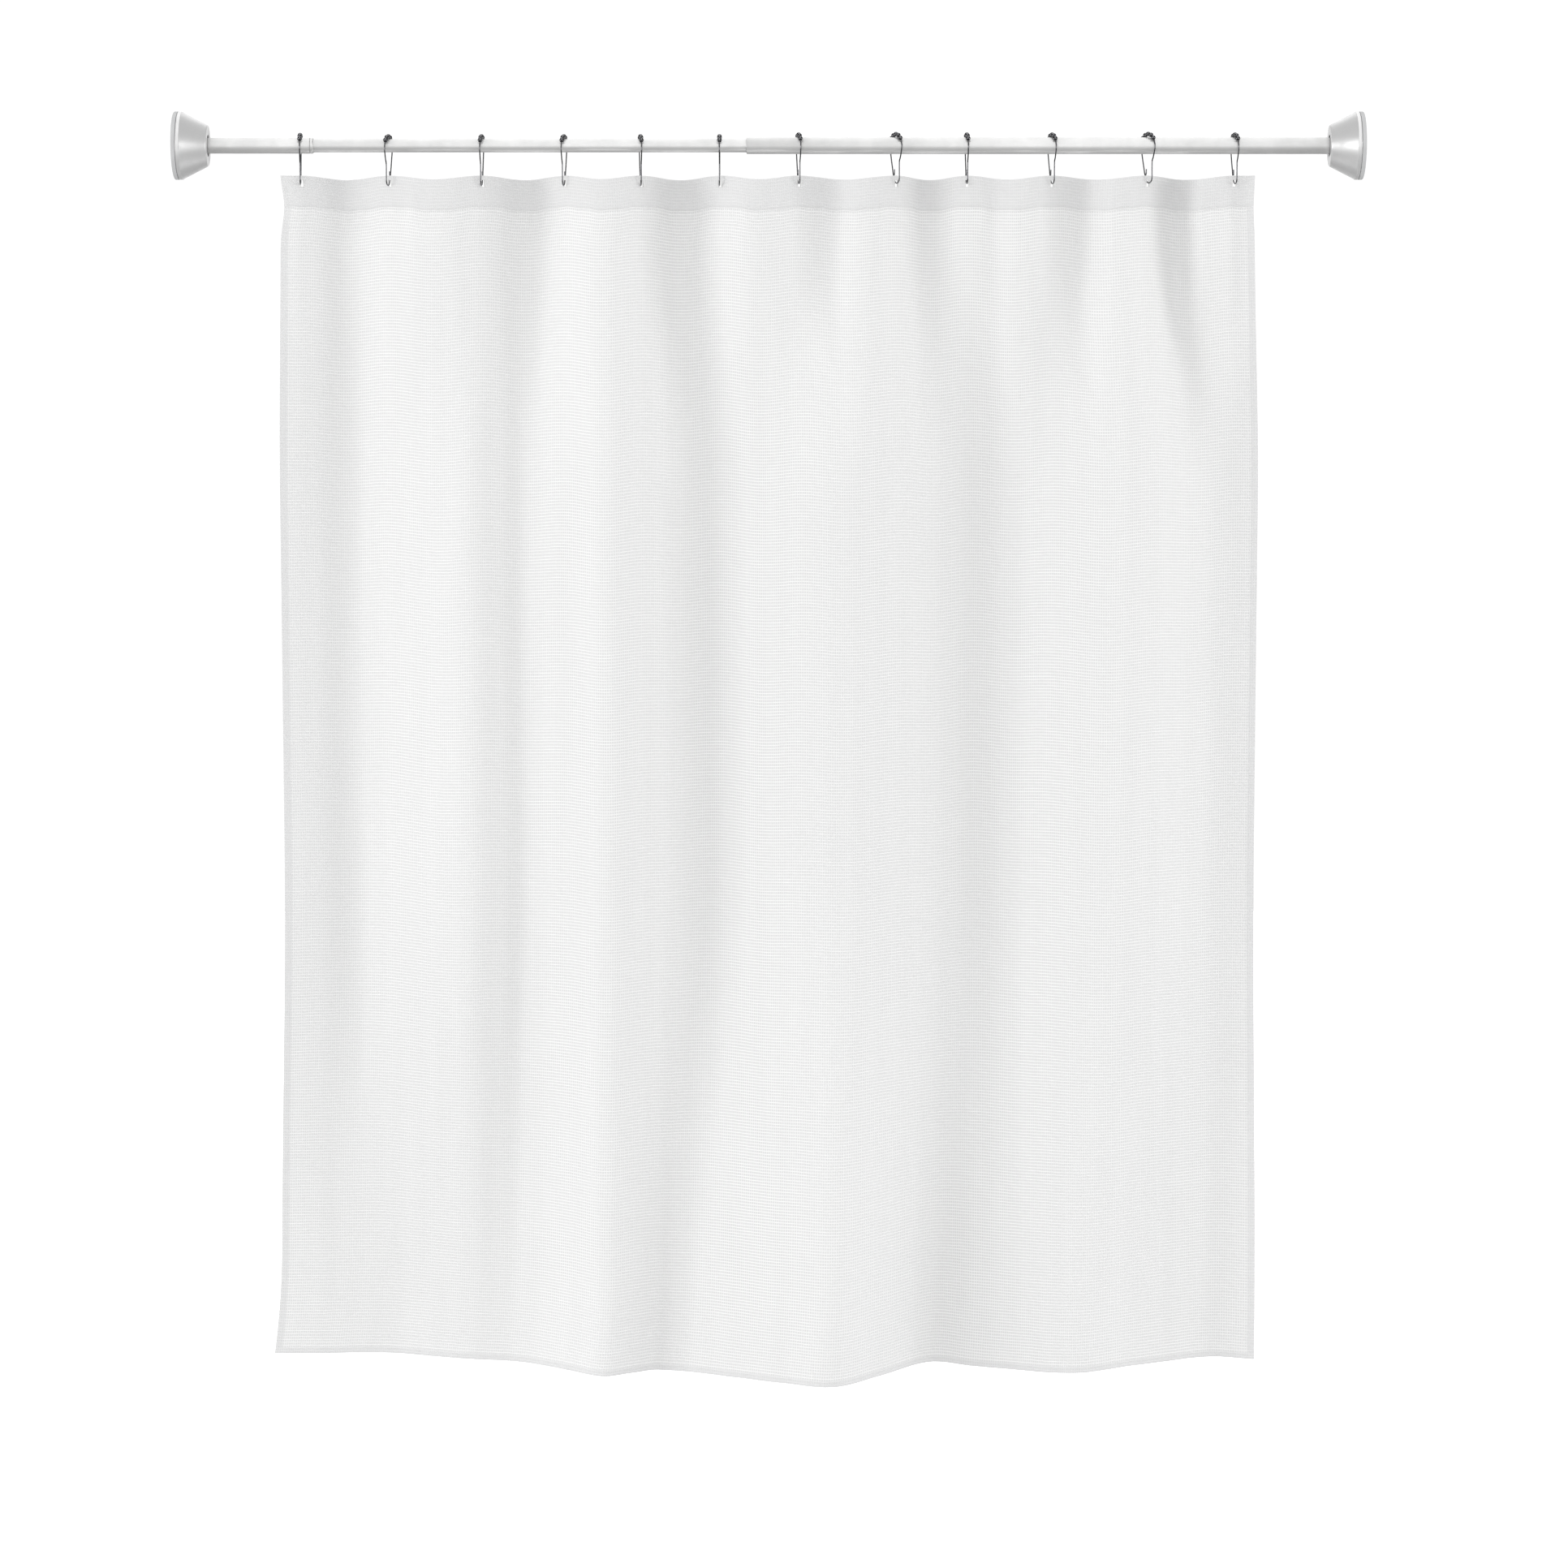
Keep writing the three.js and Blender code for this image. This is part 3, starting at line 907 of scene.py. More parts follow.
# ------------------------------------------------------------------ roller hooks
@dataclass
class RollerHooks:
    """Pear-shaped double-ended wire hooks, each with five roller balls."""

    finishes: Finishes
    turns: tuple[float, ...] = (2.5, -13.2, -5.4, -10.4, 7.2, 0, 10.4, 26.9, 5.4, 17.1, 29.5, 13.5)
    arc_radius: float = 18.6 * MM
    wire_radius: float = 1.0 * MM
    ball_radius: float = 3.7 * MM
    ball_pitch: float = 7.6 * MM
    balls: int = 5
    neck: float = 11.2 * MM
    drop: float = 47.2 * MM
    bend_radius: float = 8 * MM

    def station(self, angle: float, radius: float, y: float = 0.0, z: float = 0.0) -> Vector:
        """Point on an arc in the hook's plane, with -Y at the front."""
        return Vector((0, y - radius * math.cos(angle), z + radius * math.sin(angle)))

    def route(self) -> list[Vector]:
        """Centre line of the wire, from the latch over the rod to the lower bend's tip."""
        latch = (
            (4.2, 13.2), (4.3, 9.5), (4.8, 5.6), (6.6, 3.8),
            (8.4, 6.2), (9.6, 10.8), (12, 19.2), (15.4, 32),
        )
        back = [Vector((0, y * MM, rise * MM - self.drop)) for y, rise in latch]
        start, end = math.pi + 0.3, -0.3
        top = [self.station(start + (end - start) * i / 18, self.arc_radius) for i in range(19)]
        front = ((14.2, -16.5), (11.6, -21.5), (11.2, -27), (11.2, -40))
        leg = [Vector((0, -y * MM, z * MM)) for y, z in front]
        centre = self.bend_radius - self.neck
        lower = [self.station(-math.pi * i / 10, self.bend_radius, centre, -self.drop) for i in range(11)]
        return [*back, *top, *leg, *lower]

    def wire(self) -> bpy.types.Object:
        """Models one hook's wire, centred on its ring."""
        return swept("hook_wire", self.route(), self.wire_radius, 12)

    def ball(self) -> bpy.types.Object:
        """Models one hollow ball, drilled along X, with a rounded mouth at each end."""
        deselect_all()
        bpy.ops.mesh.primitive_uv_sphere_add(
            segments=24, ring_count=14, radius=self.ball_radius, rotation=(0, math.pi / 2, 0)
        )
        piece = settle(added("roller_ball"))
        mouth = self.ball_radius * 0.93
        bpy.ops.object.mode_set(mode="EDIT")
        mesh = bmesh.from_edit_mesh(piece.data)
        for face in mesh.faces:
            face.select = abs(face.calc_center_median().x) > mouth
        bmesh.update_edit_mesh(piece.data)
        bpy.ops.mesh.delete(type="FACE")
        bpy.ops.mesh.select_non_manifold()
        bpy.ops.mesh.bridge_edge_loops()
        face_outwards()
        return round_edges(piece, 0.18 * MM, 2)

    def rollers(self) -> bpy.types.Object:
        """Threads five balls on the round top of the hook."""
        ball = self.ball()
        threaded = []
        for i in range(self.balls):
            lean = (i - (self.balls - 1) / 2) * self.ball_pitch / self.arc_radius
            copy = copy_piece(ball, f"ball_{i}")
            place = self.station(math.pi / 2 + lean, self.arc_radius)
            turn = Matrix.Rotation(-lean, 4, "X") @ Matrix.Rotation(math.pi / 2, 4, "Z")
            copy.matrix_world = Matrix.Translation(place) @ turn
            threaded.append(settle(copy))
        bpy.data.objects.remove(ball)
        take(threaded[0])
        for copy in threaded:
            copy.select_set(True)
        bpy.ops.object.join()
        return added("hook_rollers")

    def build(self) -> list[bpy.types.Object]:
        """Copies the hook to each place on the rod.

        Returns:
            Every wire and every set of rollers.
        """
        templates = (
            (self.wire(), "wire", "hook_wire", "chrome_wire"),
            (self.rollers(), "rollers", "hook_rollers", "chrome_roller"),
        )
        pieces = []
        for index, turn in enumerate(self.turns):
            number = f"{index + 1:02d}"
            low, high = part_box(f"hook_wire_{number}")
            along = (low.x + high.x) / 2
            lift = high.z - self.arc_radius - self.wire_radius
            place = Matrix.Translation((along, 0, lift)) @ Matrix.Rotation(math.radians(turn), 4, "Z")
            for template, word, node, slot in templates:
                piece = copy_piece(template, f"{word}_{number}")
                piece.matrix_world = place
                settle(piece)
                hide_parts(f"{node}_{number}")
                pieces.append(dress(piece, self.finishes.chrome, f"hook_{number}"))
        for template, *_ in templates:
            bpy.data.objects.remove(template)
        return pieces


# ------------------------------------------------------------------ cloth
@dataclass(frozen=True)
class Folds:
    """Depths of a row of folds, as (share of the width, depth towards the front)."""

    points: tuple[Fold, ...]

    def depth(self, shares: np.ndarray) -> np.ndarray:
        """Reads the depth on a smooth curve through the points.

        Args:
            shares: Places across the cloth, from 0 to 1.

        Returns:
            Depths in metres.
        """
        place = np.array([point[0] for point in self.points])
        depth = np.array([point[1] for point in self.points]) * MM
        last = len(place) - 1
        before = np.clip(np.arange(last + 1) - 1, 0, last)
        after = np.clip(np.arange(last + 1) + 1, 0, last)
        slope = (depth[after] - depth[before]) / (place[after] - place[before])
        i = np.clip(np.searchsorted(place, shares, side="right") - 1, 0, last - 1)
        width = place[i + 1] - place[i]
        t = (shares - place[i]) / width
        turn = t * t * (3 - 2 * t)
        lead = width * (slope[i] * t * (1 - t) ** 2 - slope[i + 1] * t * t * (1 - t))
        return depth[i] * (1 - turn) + depth[i + 1] * turn + lead


def smooth_step(values: np.ndarray, start: float, end: float) -> np.ndarray:
    """Rises smoothly from 0 at start to 1 at end.

    Args:
        values: Places to read.
        start: Where the step begins.
        end: Where it ends.

    Returns:
        The step's value at each place.
    """
    t = np.clip((values - start) / (end - start), 0, 1)
    return t * t * (3 - 2 * t)


@dataclass
class CurtainCloth:
    """The hanging cloth, with its header, hems, buttonholes and stitching."""

    finishes: Finishes
    flat_size: tuple[float, float] = (1.829, 1.842)
    drop: float = 1842 * MM
    header_height: float = 47 * MM
    header_overhang: float = 31 * MM
    header_edge_depth: float = 6
    edge_dip: float = 6 * MM
    hem_dip: float = 10 * MM
    side_hem: float = 9 * MM
    bottom_hem: float = 8 * MM
    buttonhole_width: float = 4.2 * MM
    buttonhole_height: float = 10 * MM
    buttonhole_drop: float = 11.6 * MM
    buttonhole_stitches: int = 26
    thickness: float = 2.0 * MM
    single_share: float = 0.55
    columns: int = 250
    rows: int = 150
    middle_spread: tuple[float, float] = (-7 * MM, 15 * MM)
    hem_spread: tuple[float, float] = (-26 * MM, 22 * MM)
    crease_width: float = 2.6 * MM
    seam_pinch: tuple[float, float] = (6 * MM, 2 * MM)
    corner_flare: float = 12 * MM
    flare_height: float = 170 * MM
    stitch_length: float = 2.7 * MM
    stitch_pitch: float = 3.3 * MM
    seam_inset: float = 1.6 * MM
    middle_height: float = 0.27
    hem_start: float = 0.55
    bulges: tuple[tuple[float, float], ...] = (
        (-30, -24), (22, 26), (-30, -36), (36, 38), (-38, -34), (36, 30), (-8, 28), (-34, -20), (2, 26),
        (-14, 34), (-36, 16),
    )
    middle_folds: Folds = Folds((
        (0, -8), (0.032, -28), (0.072, -50), (0.133, -5), (0.19, 38), (0.222, 22), (0.248, 8), (0.294, 38),
        (0.337, 66), (0.386, 22), (0.427, -18), (0.487, 22), (0.537, 50), (0.586, 42), (0.633, 8),
        (0.679, -40), (0.716, -60), (0.765, -25), (0.808, 15), (0.853, 38), (0.893, 14), (0.93, -28),
        (0.96, -48), (1, -44),
    ))
    hem_folds: Folds = Folds((
        (0, -57), (0.113, -75), (0.198, -45), (0.252, -30), (0.303, 20), (0.339, 58), (0.366, 35),
        (0.395, 12), (0.468, 55), (0.517, 95), (0.57, 124), (0.619, 50), (0.67, -36), (0.715, -6),
        (0.807, 48), (0.879, 5), (0.952, -40), (1, -15),
    ))
    top: float = field(init=False)
    hook_places: list[float] = field(init=False)
    edges: tuple[float, float] = field(init=False)
    header_folds: Folds = field(init=False)

    def __post_init__(self) -> None:
        """Works out the top edge and the header's folds from where the CAD hangs them."""
        self.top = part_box("curtain_panel")[1].z
        boxes = [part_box(f"hook_wire_{i + 1:02d}") for i in range(12)]
        self.hook_places = [(low.x + high.x) / 2 for low, high in boxes]
        first, last = self.hook_places[0], self.hook_places[-1]
        self.edges = (first - self.header_overhang, last + self.header_overhang)
        points = [(0.0, self.header_edge_depth)]
        for i, along in enumerate(self.hook_places):
            points.append((self.share(along), 0.0))
            if i < len(self.bulges):
                third = (self.hook_places[i + 1] - along) / 3
                for k, depth in enumerate(self.bulges[i]):
                    points.append((self.share(along + third * (k + 1)), depth))
        points.append((1.0, self.header_edge_depth))
        self.header_folds = Folds(tuple(points))

    def share(self, along: float) -> float:
        """Share of the header's width at a place along the rod."""
        return (along - self.edges[0]) / (self.edges[1] - self.edges[0])

    def header_dip(self, along: np.ndarray) -> np.ndarray:
        """How far the top edge sags between the hooks.

        Args:
            along: Places along the rod.

        Returns:
            The sag at each place.
        """
        places = np.array(self.hook_places)
        i = np.clip(np.searchsorted(places, along) - 1, 0, len(places) - 2)
        t = (along - places[i]) / (places[i + 1] - places[i])
        return np.where((t >= 0) & (t <= 1), self.edge_dip * np.sin(np.pi * np.clip(t, 0, 1)) ** 2, 0)

    def surface(self, shares: np.ndarray, falls: np.ndarray) -> np.ndarray:
        """Places points of the cloth's middle surface.

        Args:
            shares: Shares of the width.
            falls: Shares of the drop, as many as shares.

        Returns:
            One point for each pair, in metres.
        """
        header = 1 - smooth_step(falls, self.header_height / self.drop, self.middle_height)
        low = smooth_step(falls, self.hem_start, 1)
        weights = (header, (1 - header) * (1 - low), (1 - header) * low)
        left, right = (
            self.edges[side] + weights[1] * self.middle_spread[side] + weights[2] * self.hem_spread[side]
            for side in (0, 1)
        )
        seam = np.exp(-(((falls * self.drop - self.header_height) / (35 * MM)) ** 2))
        flare = np.clip(1 - (1 - falls) * self.drop / self.flare_height, 0, 1) ** 2
        left = left + self.seam_pinch[0] * seam - self.corner_flare * flare
        right = right - self.seam_pinch[1] * seam
        rows = (self.header_folds, self.middle_folds, self.hem_folds)
        depth = sum(weight * folds.depth(shares) for weight, folds in zip(weights, rows))
        depth = depth + self.ripples(shares, falls)
        along = left + (right - left) * shares
        top = self.top - self.header_dip(self.edges[0] + (self.edges[1] - self.edges[0]) * shares)
        bottom = self.top - self.drop - self.hem_dip * np.sin(np.pi * shares)
        height = top + (bottom - top) * falls
        return np.stack((along, -depth, height + self.seam_pucker(shares, falls)), axis=-1)

    def ripples(self, shares: np.ndarray, falls: np.ndarray) -> np.ndarray:
        """Small uneven waves of the cloth, and the gathers along the header seam.

        Args:
            shares: Shares of the width.
            falls: Shares of the drop.

        Returns:
            Extra depth in metres.
        """
        width, drop = self.flat_size
        u, v = shares * width, falls * drop

        def waves(across: float, down: float, layer: float) -> np.ndarray:
            """Uneven waves, with so many to the metre across and down the cloth."""
            return np.array([noise.noise(Vector((a * across, b * down, layer))) for a, b in zip(u, v)])

        long_waves, short_waves = waves(9.0, 1.3, 3.1), waves(26.0, 5.0, 8.7)
        gathers = waves(62.0, 8.0, 1.9)
        below = smooth_step(v, 0.03, 0.25)
        seam = np.exp(-(((v - self.header_height) / 0.022) ** 2))
        crease = np.exp(-(((v - self.header_height) / self.crease_width) ** 2))
        gathered = 2.2 * MM * gathers * seam - 1.1 * MM * crease
        return (5.0 * MM * long_waves + 1.1 * MM * short_waves) * below + gathered

    def seam_pucker(self, shares: np.ndarray, falls: np.ndarray) -> np.ndarray:
        """Slight rise and fall of the header seam where the stitching draws it up."""
        u = shares * self.flat_size[0]
        seam = np.exp(-(((falls * self.drop - self.header_height) / 0.03) ** 2))
        return 0.6 * MM * seam * np.sin(u * 2 * np.pi / 0.047 + 2 * np.sin(u * 11))

    def across(self) -> np.ndarray:
        """Shares of the width of the mesh's columns, with one at each hem and buttonhole edge."""
        even = np.linspace(0, 1, self.columns)
        width = self.edges[1] - self.edges[0]
        half = self.buttonhole_width / 2 / width
        hem = self.side_hem / width
        exact = [hem, 1 - hem]
        for place in self.hook_places:
            exact += [self.share(place) - half, self.share(place) + half]
        return merge_marks(even, exact, 0.4 / self.columns)

    def down(self) -> np.ndarray:
        """Shares of the drop where the mesh has rows, close together in the header and hem."""
        hole_top = (self.buttonhole_drop - self.buttonhole_height / 2) / self.drop
        hole_end = (self.buttonhole_drop + self.buttonhole_height / 2) / self.drop
        seam = self.header_height / self.drop
        header = np.linspace(0, 2 * seam, 25)
        rest = np.linspace(2 * seam, 1, self.rows)
        exact = [hole_top, hole_end, seam - 0.4 * MM / self.drop, seam + 0.4 * MM / self.drop]
        exact += [1 - self.bottom_hem / self.drop]
        return merge_marks(np.concatenate((header, rest[1:])), exact, 1.2 * MM / self.drop)

    def panel(self) -> bpy.types.Object:
        """Models the cloth as one sheet with hems, a header and cut buttonholes."""
        across, down = self.across(), self.down()
        deselect_all()
        bpy.ops.mesh.primitive_grid_add(
            x_subdivisions=len(across) - 1, y_subdivisions=len(down) - 1, size=2, calc_uvs=True
        )
        piece = added("curtain_cloth")
        mesh = piece.data
        flat = np.empty(len(mesh.vertices) * 3)
        mesh.vertices.foreach_get("co", flat)
        flat = flat.reshape(-1, 3)
        column = np.rint((flat[:, 0] + 1) / 2 * (len(across) - 1)).astype(int)
        row = np.rint((1 - flat[:, 1]) / 2 * (len(down) - 1)).astype(int)
        shares, falls = across[column], down[row]
        mesh.vertices.foreach_set("co", self.surface(shares, falls).ravel())
        self.lay_cloth_map(mesh, column, row, across, down)
        double = self.doubled(shares, falls)
        layers = piece.vertex_groups.new(name="layers")
        for weight in np.unique(double):
            chosen = np.flatnonzero(double == weight).tolist()
            layers.add(chosen, float(self.single_share + (1 - self.single_share) * weight), "REPLACE")
        mark = mesh.attributes.new("double", "FLOAT", "POINT")
        mark.data.foreach_set("value", double)
        mesh.update()
        self.cut_buttonholes(piece, shares, falls)
        body = piece.modifiers.new("thickness", "SOLIDIFY")
        body.thickness = self.thickness
        body.offset = 0
        body.vertex_group = "layers"
        body.use_even_offset = True
        apply_all(piece)
        bpy.ops.object.shade_smooth_by_angle(angle=math.radians(55))
        return piece

    def doubled(self, shares: np.ndarray, falls: np.ndarray) -> np.ndarray:
        """Marks where the cloth is folded double: the header and the hems.

        Args:
            shares: Shares of the width.
            falls: Shares of the drop.

        Returns:
            1 where there are two layers, else 0.
        """
        width = self.edges[1] - self.edges[0]
        hem = self.side_hem / width
        nudge = 1e-6
        header = falls * self.drop < self.header_height
        sides = (shares < hem + nudge) | (shares > 1 - hem - nudge)
        bottom = (1 - falls) * self.drop < self.bottom_hem + nudge
        return (header | sides | bottom).astype(float)

    def lay_cloth_map(
        self, mesh: bpy.types.Mesh, column: np.ndarray, row: np.ndarray,
        across: np.ndarray, down: np.ndarray,
    ) -> None:
        """Writes cloth coordinates, in metres along the weave, into the mesh's map.

        Args:
            mesh: The cloth's mesh.
            column: Column of each vertex.
            row: Row of each vertex.
            across: Shares of the width at the columns.
            down: Shares of the drop at the rows.
        """
        middle = self.surface(across, np.full(len(across), 0.5))
        lengths = np.linalg.norm(np.diff(middle[:, :2], axis=0), axis=1)
        run = np.concatenate(([0.0], np.cumsum(lengths)))
        run *= self.flat_size[0] / run[-1]
        corner = np.empty(len(mesh.loops), dtype=int)
        mesh.loops.foreach_get("vertex_index", corner)
        layer = mesh.uv_layers[0]
        layer.name = "cloth"
        place = np.stack((run[column[corner]], (1 - down[row[corner]]) * self.flat_size[1]), axis=-1)
        layer.data.foreach_set("uv", place.ravel())

    def cut_buttonholes(self, piece: bpy.types.Object, shares: np.ndarray, falls: np.ndarray) -> None:
        """Cuts a slit in the header at each hook.

        Args:
            piece: The cloth, before it gets its thickness.
            shares: Share of the width of each vertex.
            falls: Share of the drop of each vertex.
        """
        half = self.buttonhole_width / 2 / (self.edges[1] - self.edges[0]) * 1.01
        middle = self.buttonhole_drop / self.drop
        reach = self.buttonhole_height / 2 / self.drop * 1.01
        near = np.zeros(len(shares), dtype=bool)
        for place in self.hook_places:
            near |= (np.abs(shares - self.share(place)) < half) & (np.abs(falls - middle) < reach)
        take(piece)
        bpy.ops.object.mode_set(mode="EDIT")
        mesh = bmesh.from_edit_mesh(piece.data)
        mesh.verts.ensure_lookup_table()
        for face in mesh.faces:
            face.select = all(near[vertex.index] for vertex in face.verts)
        bmesh.update_edit_mesh(piece.data)
        bpy.ops.mesh.delete(type="FACE")
        bpy.ops.object.mode_set(mode="OBJECT")

    def frames(self, shares: np.ndarray, falls: np.ndarray) -> tuple[np.ndarray, np.ndarray]:
        """Gives points of the cloth and the direction out of its front.

        Args:
            shares: Shares of the width.
            falls: Shares of the drop.

        Returns:
            Points, and unit vectors towards the front.
        """
        step = 0.0008
        points = self.surface(shares, falls)
        across = self.surface(shares + step, falls) - self.surface(shares - step, falls)
        down = self.surface(shares, falls + step) - self.surface(shares, falls - step)
        out = np.cross(down, across)
        return points, out / np.linalg.norm(out, axis=1, keepdims=True)

    def stitch(self) -> bpy.types.Object:
        """Models one stitch: a short thread along X whose ends dive into the cloth."""
        deselect_all()
        bpy.ops.mesh.primitive_cylinder_add(
            vertices=5, radius=0.3 * MM, depth=self.stitch_length, rotation=(0, math.pi / 2, 0)
        )
        piece = settle(added("stitch"))
        bpy.ops.object.mode_set(mode="EDIT")
        mesh = bmesh.from_edit_mesh(piece.data)
        for edge in mesh.edges:
            edge.select = abs(edge.verts[0].co.x - edge.verts[1].co.x) > MM
        bmesh.update_edit_mesh(piece.data)
        bpy.ops.mesh.subdivide(number_cuts=2)
        mesh = bmesh.from_edit_mesh(piece.data)
        for vertex in mesh.verts:
            vertex.co.z -= 0.45 * MM * (abs(vertex.co.x) / (self.stitch_length / 2)) ** 4
        bmesh.update_edit_mesh(piece.data)
        bpy.ops.object.mode_set(mode="OBJECT")
        return piece

    def sew(
        self, name: str, template: bpy.types.Object, lines: Iterable[np.ndarray], lift: float
    ) -> bpy.types.Object:
        """Repeats a stitch along lines on both faces of the cloth.

        Args:
            name: The stitching's name.
            template: One stitch, lying along X with its top towards +Z.
            lines: For each line, rows of (share of width, share of drop) where stitches sit.
            lift: Height of the thread above the cloth's middle surface.

        Returns:
            All the stitches as one piece.
        """
        shape = np.array([vertex.co[:] for vertex in template.data.vertices])
        polygons = [list(polygon.vertices) for polygon in template.data.polygons]
        corners, faces = [], []
        for line in lines:
            points, out = self.frames(line[:, 0], line[:, 1])
            along = np.gradient(points, axis=0)
            along /= np.linalg.norm(along, axis=1, keepdims=True)
            for side in (1, -1):
                up = out * side
                across = np.cross(up, along)
                for i in range(len(points)):
                    base = len(corners) * len(shape)
                    centre = points[i] + up[i] * lift
                    axes = np.stack((along[i], across[i], up[i]))
                    corners.append(centre + shape @ axes)
                    faces += [[base + k for k in polygon] for polygon in polygons]
        mesh = bpy.data.meshes.new(name)
        mesh.from_pydata(np.concatenate(corners).tolist(), [], faces)
        piece = bpy.data.objects.new(name, mesh)
        bpy.context.scene.collection.objects.link(piece)
        take(piece)
        bpy.ops.object.shade_smooth()
        return piece

    def seam_lines(self) -> list[np.ndarray]:
        """Lines of lock stitch: the header seam, the two side hems and the bottom hem."""
        width, drop = self.flat_size
        count = int(width / self.stitch_pitch)
        run = np.linspace(0.003, 0.997, count)
        side = (self.side_hem - self.seam_inset) / (self.edges[1] - self.edges[0])
        header = (self.header_height - self.seam_inset) / drop
        hem = 1 - (self.bottom_hem - self.seam_inset) / drop
        level = np.full(count, 1.0)
        return [
            np.stack((run, level * header), axis=-1),
            np.stack((run, level * hem), axis=-1),
            np.stack((level * side, run), axis=-1),
            np.stack((level * (1 - side), run), axis=-1),
        ]

    def buttonhole_lines(self) -> list[np.ndarray]:
        """Close zigzag stitches down both sides of each buttonhole."""
        width = self.edges[1] - self.edges[0]
        lines = []
        count = self.buttonhole_stitches
        middle = self.buttonhole_drop / self.drop
        reach = (self.buttonhole_height / 2 + 0.8 * MM) / self.drop
        run = np.linspace(middle - reach, middle + reach, count)
        for place in self.hook_places:
            for edge in (-1, 1):
                offset = edge * (self.buttonhole_width / 2 + 1.0 * MM) / width
                lines.append(np.stack((np.full(count, self.share(place) + offset), run), axis=-1))
        return lines

    def build(self) -> list[bpy.types.Object]:
        """Returns:
            The cloth and its stitching.
        """
        panel = self.panel()
        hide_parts("curtain_panel")
        stitch = self.stitch()
        single = self.thickness * 0.5
        seams = self.sew("seam_stitching", stitch, self.seam_lines(), single)
        crosswise = copy_piece(stitch, "crosswise_stitch")
        crosswise.rotation_euler = (0, 0, math.pi / 2)
        crosswise.scale = (0.75, 1, 1)
        settle(crosswise)
        holes = self.sew("buttonhole_stitching", crosswise, self.buttonhole_lines(), single)
        for template in (stitch, crosswise):
            bpy.data.objects.remove(template)
        dress(panel, self.finishes.cloth, "curtain")
        pieces = [panel]
        for piece in (seams, holes):
            pieces.append(dress(piece, self.finishes.thread, "curtain"))
        for piece in pieces:
            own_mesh(piece)
        return pieces


def merge_marks(even: np.ndarray, exact: Sequence[float], room: float) -> np.ndarray:
    """Joins evenly spaced marks with exact ones, dropping even marks that crowd an exact one.

    Args:
        even: Evenly spaced marks.
        exact: Marks that must stay.
        room: Least distance between an even mark and an exact one.

    Returns:
        All the marks in order.
    """
    fixed = np.array(exact)
    ends = (even == even[0]) | (even == even[-1])
    kept = [mark for mark, end in zip(even, ends) if end or np.min(np.abs(fixed - mark)) > room]
    return np.unique(np.concatenate((kept, fixed)))


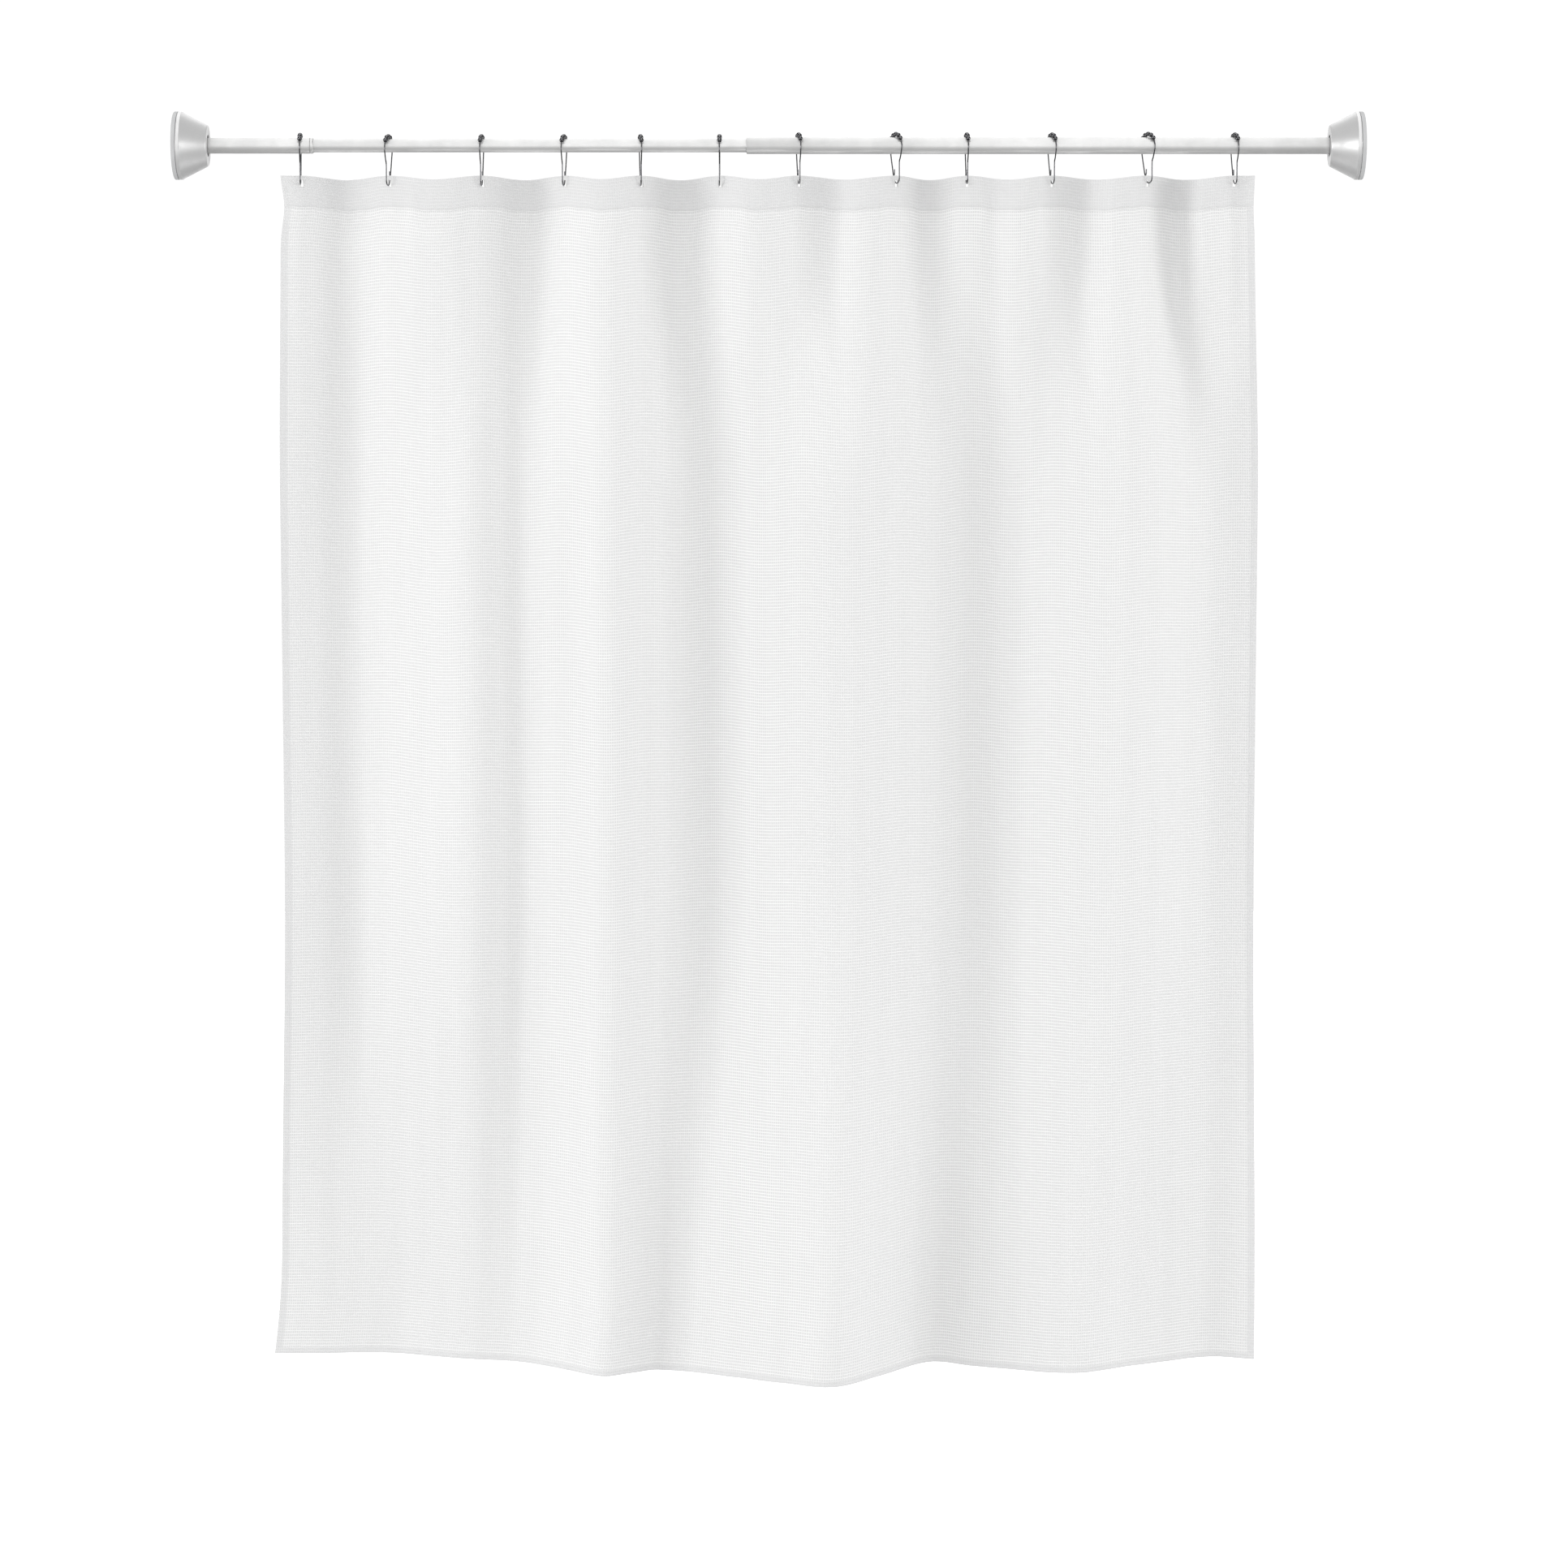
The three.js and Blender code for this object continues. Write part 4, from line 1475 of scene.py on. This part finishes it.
# ------------------------------------------------------------------ stage
@dataclass
class Studio:
    """Pale floor, soft light and the camera, in metres and degrees."""

    lens: float = 102.35
    sensor_width: float = 36
    camera_place: tuple[float, float, float] = (0.9262, -6.842, -0.221)
    pitch: float = 6.298
    aim: tuple[float, float, float] = (0.9, 0, -0.9)
    floor_height: float = -2.15

    def camera(self) -> None:
        """Sets the camera in front of the curtain, tilted down a little."""
        data = bpy.data.cameras.new("camera")
        data.lens = self.lens
        data.sensor_width = self.sensor_width
        camera = bpy.data.objects.new("camera", data)
        camera.location = self.camera_place
        camera.rotation_euler = (math.radians(90 - self.pitch), 0, 0)
        bpy.context.scene.collection.objects.link(camera)
        bpy.context.scene.camera = camera

    def floor(self) -> None:
        """Lays a plain pale floor below the hem."""
        deselect_all()
        bpy.ops.mesh.primitive_plane_add(size=14, location=(0.9, 0, self.floor_height))
        floor = settle(added("floor"))
        material, _, shader = new_material("pale_floor")
        shader.inputs["Base Color"].default_value = (0.93, 0.93, 0.93, 1)
        shader.inputs["Roughness"].default_value = 0.9
        shader.inputs["Emission Color"].default_value = (1, 1, 1, 1)
        shader.inputs["Emission Strength"].default_value = 0.9
        floor.data.materials.append(material)
        floor.visible_glossy = False
        floor.visible_diffuse = False

    def lamp(self, name: str, place: Sequence[float], power: float, size: float) -> None:
        """Hangs a square soft light that faces the curtain.

        Args:
            name: The light's name.
            place: Where it hangs, in metres.
            power: Its power in watts.
            size: Its side in metres.
        """
        data = bpy.data.lights.new(name, "AREA")
        data.energy = power
        data.size = size
        light = bpy.data.objects.new(name, data)
        light.location = place
        towards = Vector(self.aim) - Vector(place)
        light.rotation_euler = towards.to_track_quat("-Z", "Y").to_euler()
        bpy.context.scene.collection.objects.link(light)

    def sky(self) -> None:
        """Makes a white background, brighter above, that metal mirrors darker at the sides and below."""
        world = bpy.data.worlds.new("studio")
        bpy.context.scene.world = world
        world.use_nodes = True
        graph = Graph(world.node_tree)
        background = world.node_tree.nodes["Background"]
        background.inputs["Color"].default_value = (1, 1, 1, 1)
        direction = graph.node("TexCoord").outputs["Generated"]
        split = graph.node("SeparateXYZ")
        graph.feed(split.inputs[0], direction)
        glow = graph.remap(split.outputs[2], -0.5, 0.5, 0.94, 1.16)
        lit_height = graph.remap(split.outputs[2], -0.6, -0.1, 0.2, 1.25)
        sideways = graph.math("ABSOLUTE", split.outputs[0])
        mirrored = graph.math("MULTIPLY", lit_height, graph.remap(sideways, 0.22, 0.5, 1.0, 0.1))
        rays = graph.node("LightPath")
        glossy, seen = rays.outputs["Is Glossy Ray"], rays.outputs["Is Camera Ray"]
        change = graph.math("MULTIPLY", glossy, graph.math("SUBTRACT", mirrored, glow))
        strength = graph.math("ADD", glow, change)
        white = graph.math("MULTIPLY", seen, 1.05)
        graph.feed(background.inputs["Strength"], graph.math("MAXIMUM", strength, white))

    def build(self) -> None:
        """Sets up the whole stage."""
        self.camera()
        self.sky()
        self.floor()
        self.lamp("key_light", (-4.6, -2.2, 0.0), 72, 1.6)
        self.lamp("right_light", (6.4, -1.8, 0.0), 44, 1.6)
        self.lamp("front_light", (0.9, -6.2, 0.2), 4, 3.0)
        bpy.context.scene.view_settings.view_transform = "Standard"


# ------------------------------------------------------------------ assembly
def main() -> None:
    """Builds the shower curtain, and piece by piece."""
    logging.basicConfig(level=logging.INFO, format="%(name)s: %(message)s")
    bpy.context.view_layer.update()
    Studio().build()
    finishes = Finishes()
    for side in Side:
        WallFlange(side, finishes).build()
    RodTubes(finishes).build()
    RollerHooks(finishes).build()
    CurtainCloth(finishes).build()


if __name__ == "__main__":
    main()
